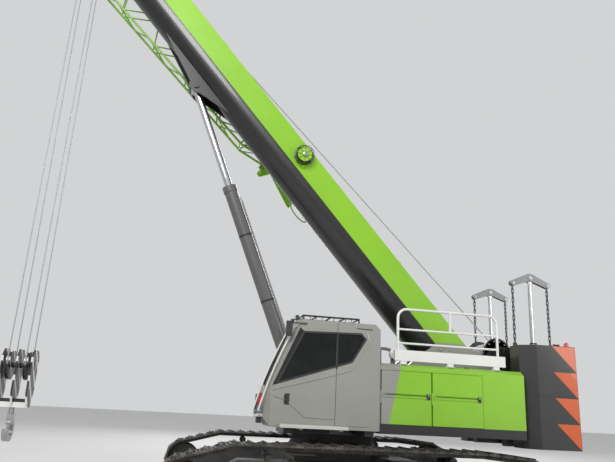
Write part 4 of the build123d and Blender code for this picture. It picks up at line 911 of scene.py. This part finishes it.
LIFT_X, LIFT_Y, HAT_SPAN = -3.82, 0.845, 0.378
links = Form()
for x in (LIFT_X - HAT_SPAN, LIFT_X + HAT_SPAN):
    for y in (-LIFT_Y, LIFT_Y):
        chain(links, x, y, 2.964, 4.135)
        for z in (2.968, 4.128):
            links.tube([deck(x, y - 0.03, z), deck(x, y + 0.03, z)], 0.012, 10)
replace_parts(make("lift_chain_links", links, "counterweight", link_steel), "lift_chains")

pins = Form()
for x, z, size in ((LIFT_X, 4.287, 0.075), (LIFT_X - HAT_SPAN, 4.157, 0.06), (LIFT_X + HAT_SPAN, 4.157, 0.06)):
    for y in (-LIFT_Y, LIFT_Y):
        for side in (-1, 1):
            pins.turned(deck(x, y + side * 0.053, z), (0, side, 0),
                        ((size * 0.62, 0), (size * 0.62, 0.004), (size * 0.4, 0.004), (size * 0.4, 0.012)), 20)
            pins.bolt(deck(x + size * 0.9, y + side * 0.046, z + 0.004), (0, side, 0), 0.018)
make("hat_pins", pins, "counterweight", zinc)

block_parts = Form()
for side in (1, -1):
    for top, low in ((2.868, 2.395), (2.395, 1.931), (1.931, 1.478), (1.478, 1.032)):
        block_parts.slab(((-3.822, top - 0.004), (-4.284, top - 0.004), (-4.284, low + 0.004)), side * 1.4995,
                         side * 1.5016)
    block_parts.box((-4.288, side * 1.4996, 1.947), (-3.50, side * 1.5008, 1.953), spot=1)
    for x in (-3.62, -4.1):
        block_parts.tube([deck(x + dx, side * 1.2, z) for dx, z in ((-0.06, 2.872), (-0.06, 2.93), (0.06, 2.93),
                                                                    (0.06, 2.872))], 0.016, 10, spot=2)
for y in (1.40, -1.40):
    block_parts.turned(deck(-4.18, y, 2.873), (0, 0, 1),
                       ((0.05, 0), (0.05, 0.02), (0.042, 0.026), (0.042, 0.075), (0.03, 0.09)), 24, spot=3)
for y in (-1.05, -0.35, 0.35, 1.05):
    block_parts.box((-4.2915, y - 0.11, 1.12), (-4.2895, y + 0.11, 1.17), spot=4)
for y in (-0.7, 0.0, 0.7):
    block_parts.box((-4.2912, y - 0.003, 1.03), (-4.2898, y + 0.003, 2.86), spot=1)
make("counterweight_parts", block_parts, "counterweight", [orange, shade, black, red_lens, red_lens],
     0.0015)

# ---- boom
BOOM_HALF, BELLY = 0.4, 0.058  # the base tube's half width, and the centre of its round belly
welds = Form()
for side in (-1, 1):
    welds.tube([boom(-0.33, side * BOOM_HALF, BELLY), boom(10.2, side * BOOM_HALF, BELLY)], 0.006, 6)
for u in (0.45, 2.6, 4.9, 7.3, 9.4):
    for side in (-1, 1):
        welds.box((u - 0.004, side * BOOM_HALF, 0.08), (u + 0.004, side * (BOOM_HALF + 0.0025), 0.53), boom)
make("boom_seams", welds, "boom_base", green)
for index in range(4):
    inset_by = index * 0.03 - 0.022
    half, top, mouth = BOOM_HALF - inset_by, 0.545 - inset_by, 10.3 + index * 0.14
    pads = Form()
    for side in (-1, 1):
        for w in (0.14, 0.30, 0.44):
            pads.bolt(boom(mouth - 0.045, side * half, w), (0, side, 0), 0.026, spot=1)
        pads.bolt(boom(mouth - 0.045, side * 0.22, top), ABOVE, 0.026, spot=1)
        pads.box((mouth - 0.002, side * (half - 0.052), 0.12), (mouth + 0.006, side * (half - 0.012), 0.40), boom)
        pads.box((mouth - 0.002, side * 0.10, top - 0.050), (mouth + 0.006, side * 0.27, top - 0.014), boom)
    for k in range(5):
        angle = pi * (k + 1) / 6
        y, w = half * cos(angle), BELLY - half * sin(angle)
        pads.bolt(boom(mouth - 0.045, y, w), Vector((0, cos(angle), 0)) - ABOVE * sin(angle), 0.026, spot=1)
    make("collar_parts_%d" % (index + 1), pads, SECTIONS[index], [plastic, zinc], 0.001)

REEL_U, REEL_W = 4.91, 0.33
reel = Form()
for y in (0.462, 0.548):
    reel.tube(hoop(40, lambda c, s: boom(REEL_U + 0.195 * c, y, REEL_W + 0.195 * s)), 0.009, 8, closed=True)
    for inner, outer in zip(hoop(8, lambda c, s: boom(REEL_U + 0.05 * c, y, REEL_W + 0.05 * s)),
                            hoop(8, lambda c, s: boom(REEL_U + 0.193 * c, y, REEL_W + 0.193 * s))):
        reel.tube([inner, outer], 0.007, 6)
for k in range(4):
    loop = hoop(40, lambda c, s: boom(REEL_U + 0.158 * c, 0.474 + 0.02 * k, REEL_W + 0.158 * s))
    reel.tube(loop, 0.010, 8, spot=1, closed=True)
reel.turned(boom(REEL_U, 0.57, REEL_W), (0, 1, 0), ((0.05, 0), (0.05, 0.02), (0.03, 0.03)), 20, spot=2)
make("reel_parts", reel, "boom_base", [black, rubber, zinc])

rollers = Form()
for u in (1.97, 5.02, 8.06):
    for side in (-1, 1):
        rollers.turned(boom(u, side * 0.118, 0.62), (0, side, 0), ((0.028, 0), (0.028, 0.006), (0.016, 0.012)), 16,
                       spot=1)
        for du in (-0.032, 0.032):
            rollers.bolt(boom(u + du, side * 0.118, 0.57), (0, side, 0), 0.016, spot=1)
        rollers.turned(boom(u, side * 0.085, 0.62), (0, side, 0), ((0.034, 0), (0.044, 0.012), (0.044, 0.018)), 20)
make("guide_rollers", rollers, "boom_base", [steel, zinc])

head = Form()
for side in (-1, 1):
    for du, w in ((0.10, 0.25), (0.10, 0.05), (0.10, -0.12), (0.32, 0.40), (0.32, -0.22)):
        head.bolt(boom(10.86 + du, side * 0.2605, w), (0, side, 0), 0.03, spot=1)
    head.turned(boom(HEAD_U - 0.33, side * 0.261, 0.48), (0, side, 0), ((0.06, 0), (0.06, 0.012), (0.045, 0.018)), 24,
                spot=1)
make("head_bolts", head, "boom_5", [steel, zinc])
caps = Form()
for side in (-1, 1):
    caps.turned(boom(HEAD_U, side * 0.2702, -0.25), (0, side, 0), ((0.065, 0), (0.065, 0.012), (0.05, 0.02)), 24)
make("axle_caps", caps, "head_axle", zinc)

# the folded jib's narrow end, its pin plates and the loop of rod that hangs from them
tail = Form()
for w0, w1 in ((-0.26, -0.015), (0.06, 0.055)):
    for y in (-0.56, -0.93):
        tail.tube([boom(6.16, y, w0), boom(5.52, y, w1)], 0.026, 12)
for y in (-0.56, -0.93):
    tail.tube([boom(6.14, y, -0.25), boom(5.84, y, 0.055)], 0.014, 8)
    tail.tube([boom(5.82, y, 0.055), boom(5.54, y, -0.02)], 0.014, 8)
    tail.slab(((5.56, 0.09), (5.38, 0.09), (5.32, -0.05), (5.40, -0.28), (5.50, -0.28), (5.56, -0.06)), y - 0.012,
              y + 0.012, boom)
    tail.slab(((5.40, -0.02), (4.50, -0.19), (4.43, -0.19), (4.43, -0.10), (4.52, -0.07), (5.38, 0.07)), y - 0.010,
              y + 0.010, boom)
for u, w in ((5.52, 0.03), (5.45, -0.24), (4.47, -0.14)):
    tail.tube([boom(u, -0.94, w), boom(u, -0.55, w)], 0.022, 12)
tail.tube([boom(5.46, -0.55, 0.0), boom(5.46, -0.398, 0.06)], 0.035, 12)
tail.tube(hoop(24, lambda c, s: boom(4.18 + 0.26 * c, -0.745, -0.135 + 0.085 * s)), 0.014, 8, closed=True)
make("jib_foot", tail, "boom_base", green)

# ---- luffing cylinder
ram_parts = Form()
ram_parts.turned(ram(4.47, 0, 0), RAM_ALONG, ((0.1355, -0.02), (0.1475, 0.0), (0.1475, 0.004), (0.1355, 0.012)), 40,
                 caps=False)
ring_of_bolts(ram_parts, ram(4.6, 0, 0), RAM_ALONG, 0.118, 12, 0.026, spot=1)
for u in (0.7, 2.1, 3.5):
    ram_parts.turned(ram(u, 0, 0), RAM_ALONG, ((0.1345, -0.02), (0.1385, -0.02), (0.1385, 0.02), (0.1345, 0.02)), 40,
                     spot=2, caps=False)
for side in (-1, 1):
    y = side * 0.075
    ram_parts.tube([ram(0.42, y, 0.128), ram(0.50, y, 0.150), ram(2.1, y, 0.150), ram(4.20, y, 0.150),
                    ram(4.30, y, 0.132)], 0.014, 10, spot=1)
ram_parts.turned(ram(0.40, 0, 0.125), RAM_ABOVE, ((0.05, 0), (0.05, 0.03), (0.03, 0.036)), 6, spot=1)
make("ram_fittings", ram_parts, "luff_barrel", [dark_grey, zinc, black])

# ---- hook
low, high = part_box("hook_block")
hook_x = (low[0] + high[0]) / 2 - SLEW_X
nuts = Form()
for side in (-1, 1):
    face = hook_x + side * 0.262
    nuts.turned(deck(face, 0, 2.01), (side, 0, 0), ((0.07, 0), (0.07, 0.012), (0.05, 0.018), (0.05, 0.026)), 24)
    for y, z in ((-0.19, 1.62), (0.19, 1.62), (-0.19, 2.12), (0.19, 2.12), (-0.07, 1.34), (0.07, 1.34)):
        nuts.bolt(deck(face, y, z), (side, 0, 0), 0.03)
make("block_bolts", nuts, "hook", zinc)
catch = Form()
base_z = 0.72 + 0.19
catch.slab(((hook_x - 0.018, base_z + 0.13), (hook_x + 0.018, base_z + 0.13), (hook_x + 0.018, base_z + 0.03),
            (hook_x - 0.018, base_z + 0.03)), 0.045, 0.055)
catch.turned(deck(hook_x - 0.03, 0.045, base_z + 0.13), (1, 0, 0), ((0.014, 0), (0.014, 0.06)), 12, spot=1)
catch.turned(deck(hook_x, 0, 1.175), (0, 0, 1), ((0.06, 0), (0.06, 0.045), (0.05, 0.05)), 6, spot=1)
make("hook_catch", catch, "hook", [zinc, steel], 0.001)


# ---- floor, light and camera
def flat_look(name, colour, rough):
    look = Look(name)
    look.set("Base Color", look.mix(look.span(look.noise(0.35, 4), 0.35, 0.65, 0, 1), colour,
                                    tuple(c * 0.97 for c in colour)))
    look.set("Roughness", rough)
    return look.finish


ground = Form()
ground.add([(-90, -90, 0), (90, -90, 0), (90, 90, 0), (-90, 90, 0)], [(0, 1, 2, 3)])
sheet = bpy.data.meshes.new("floor")
sheet.from_pydata(ground.points, [], ground.faces)
sheet.materials.append(flat_look("floor_finish", (0.62, 0.62, 0.61), 0.9))
floor = bpy.data.objects.new("floor", sheet)
bpy.context.scene.collection.objects.link(floor)


def softbox(name, at, towards, size, power):
    data = bpy.data.lights.new(name, "AREA")
    data.shape, data.size, data.energy = "DISK", size, power
    lamp = bpy.data.objects.new(name, data)
    lamp.location = at
    lamp.rotation_mode = "QUATERNION"
    lamp.rotation_quaternion = (Vector(towards) - Vector(at)).to_track_quat("-Z", "Y")
    bpy.context.scene.collection.objects.link(lamp)


aim = deck(0, 0, 3)
softbox("key", deck(9, 16, 15), aim, 9, 3300)
softbox("fill", deck(-15, 12, 7), aim, 10, 1100)
softbox("back", deck(-4, -18, 13), aim, 10, 1700)
world = bpy.data.worlds.new("studio")
world.use_nodes = True
sky = world.node_tree.nodes["Background"].inputs
sky[0].default_value = (0.86, 0.87, 0.88, 1)
sky[1].default_value = 0.75
scene = bpy.context.scene
scene.world = world
scene.view_settings.view_transform = "Standard"

eye = bpy.data.cameras.new("camera")
eye.lens, eye.sensor_width, eye.clip_end = 35.04, 36.0, 500
camera = bpy.data.objects.new("camera", eye)
scene.collection.objects.link(camera)
scene.camera = camera
turn, tip, lean = radians(-10.1308), radians(16.5859), radians(2.946)
ahead = Vector((sin(turn) * cos(tip), -cos(turn) * cos(tip), sin(tip)))
right = ahead.cross(Vector((0, 0, 1))).normalized()
top = right.cross(ahead)
right, top = cos(lean) * right + sin(lean) * top, cos(lean) * top - sin(lean) * right
facing = Matrix((right, top, -ahead)).transposed().to_4x4()
facing.translation = deck(2.775, 11.788, 1.506)
camera.matrix_world = facing
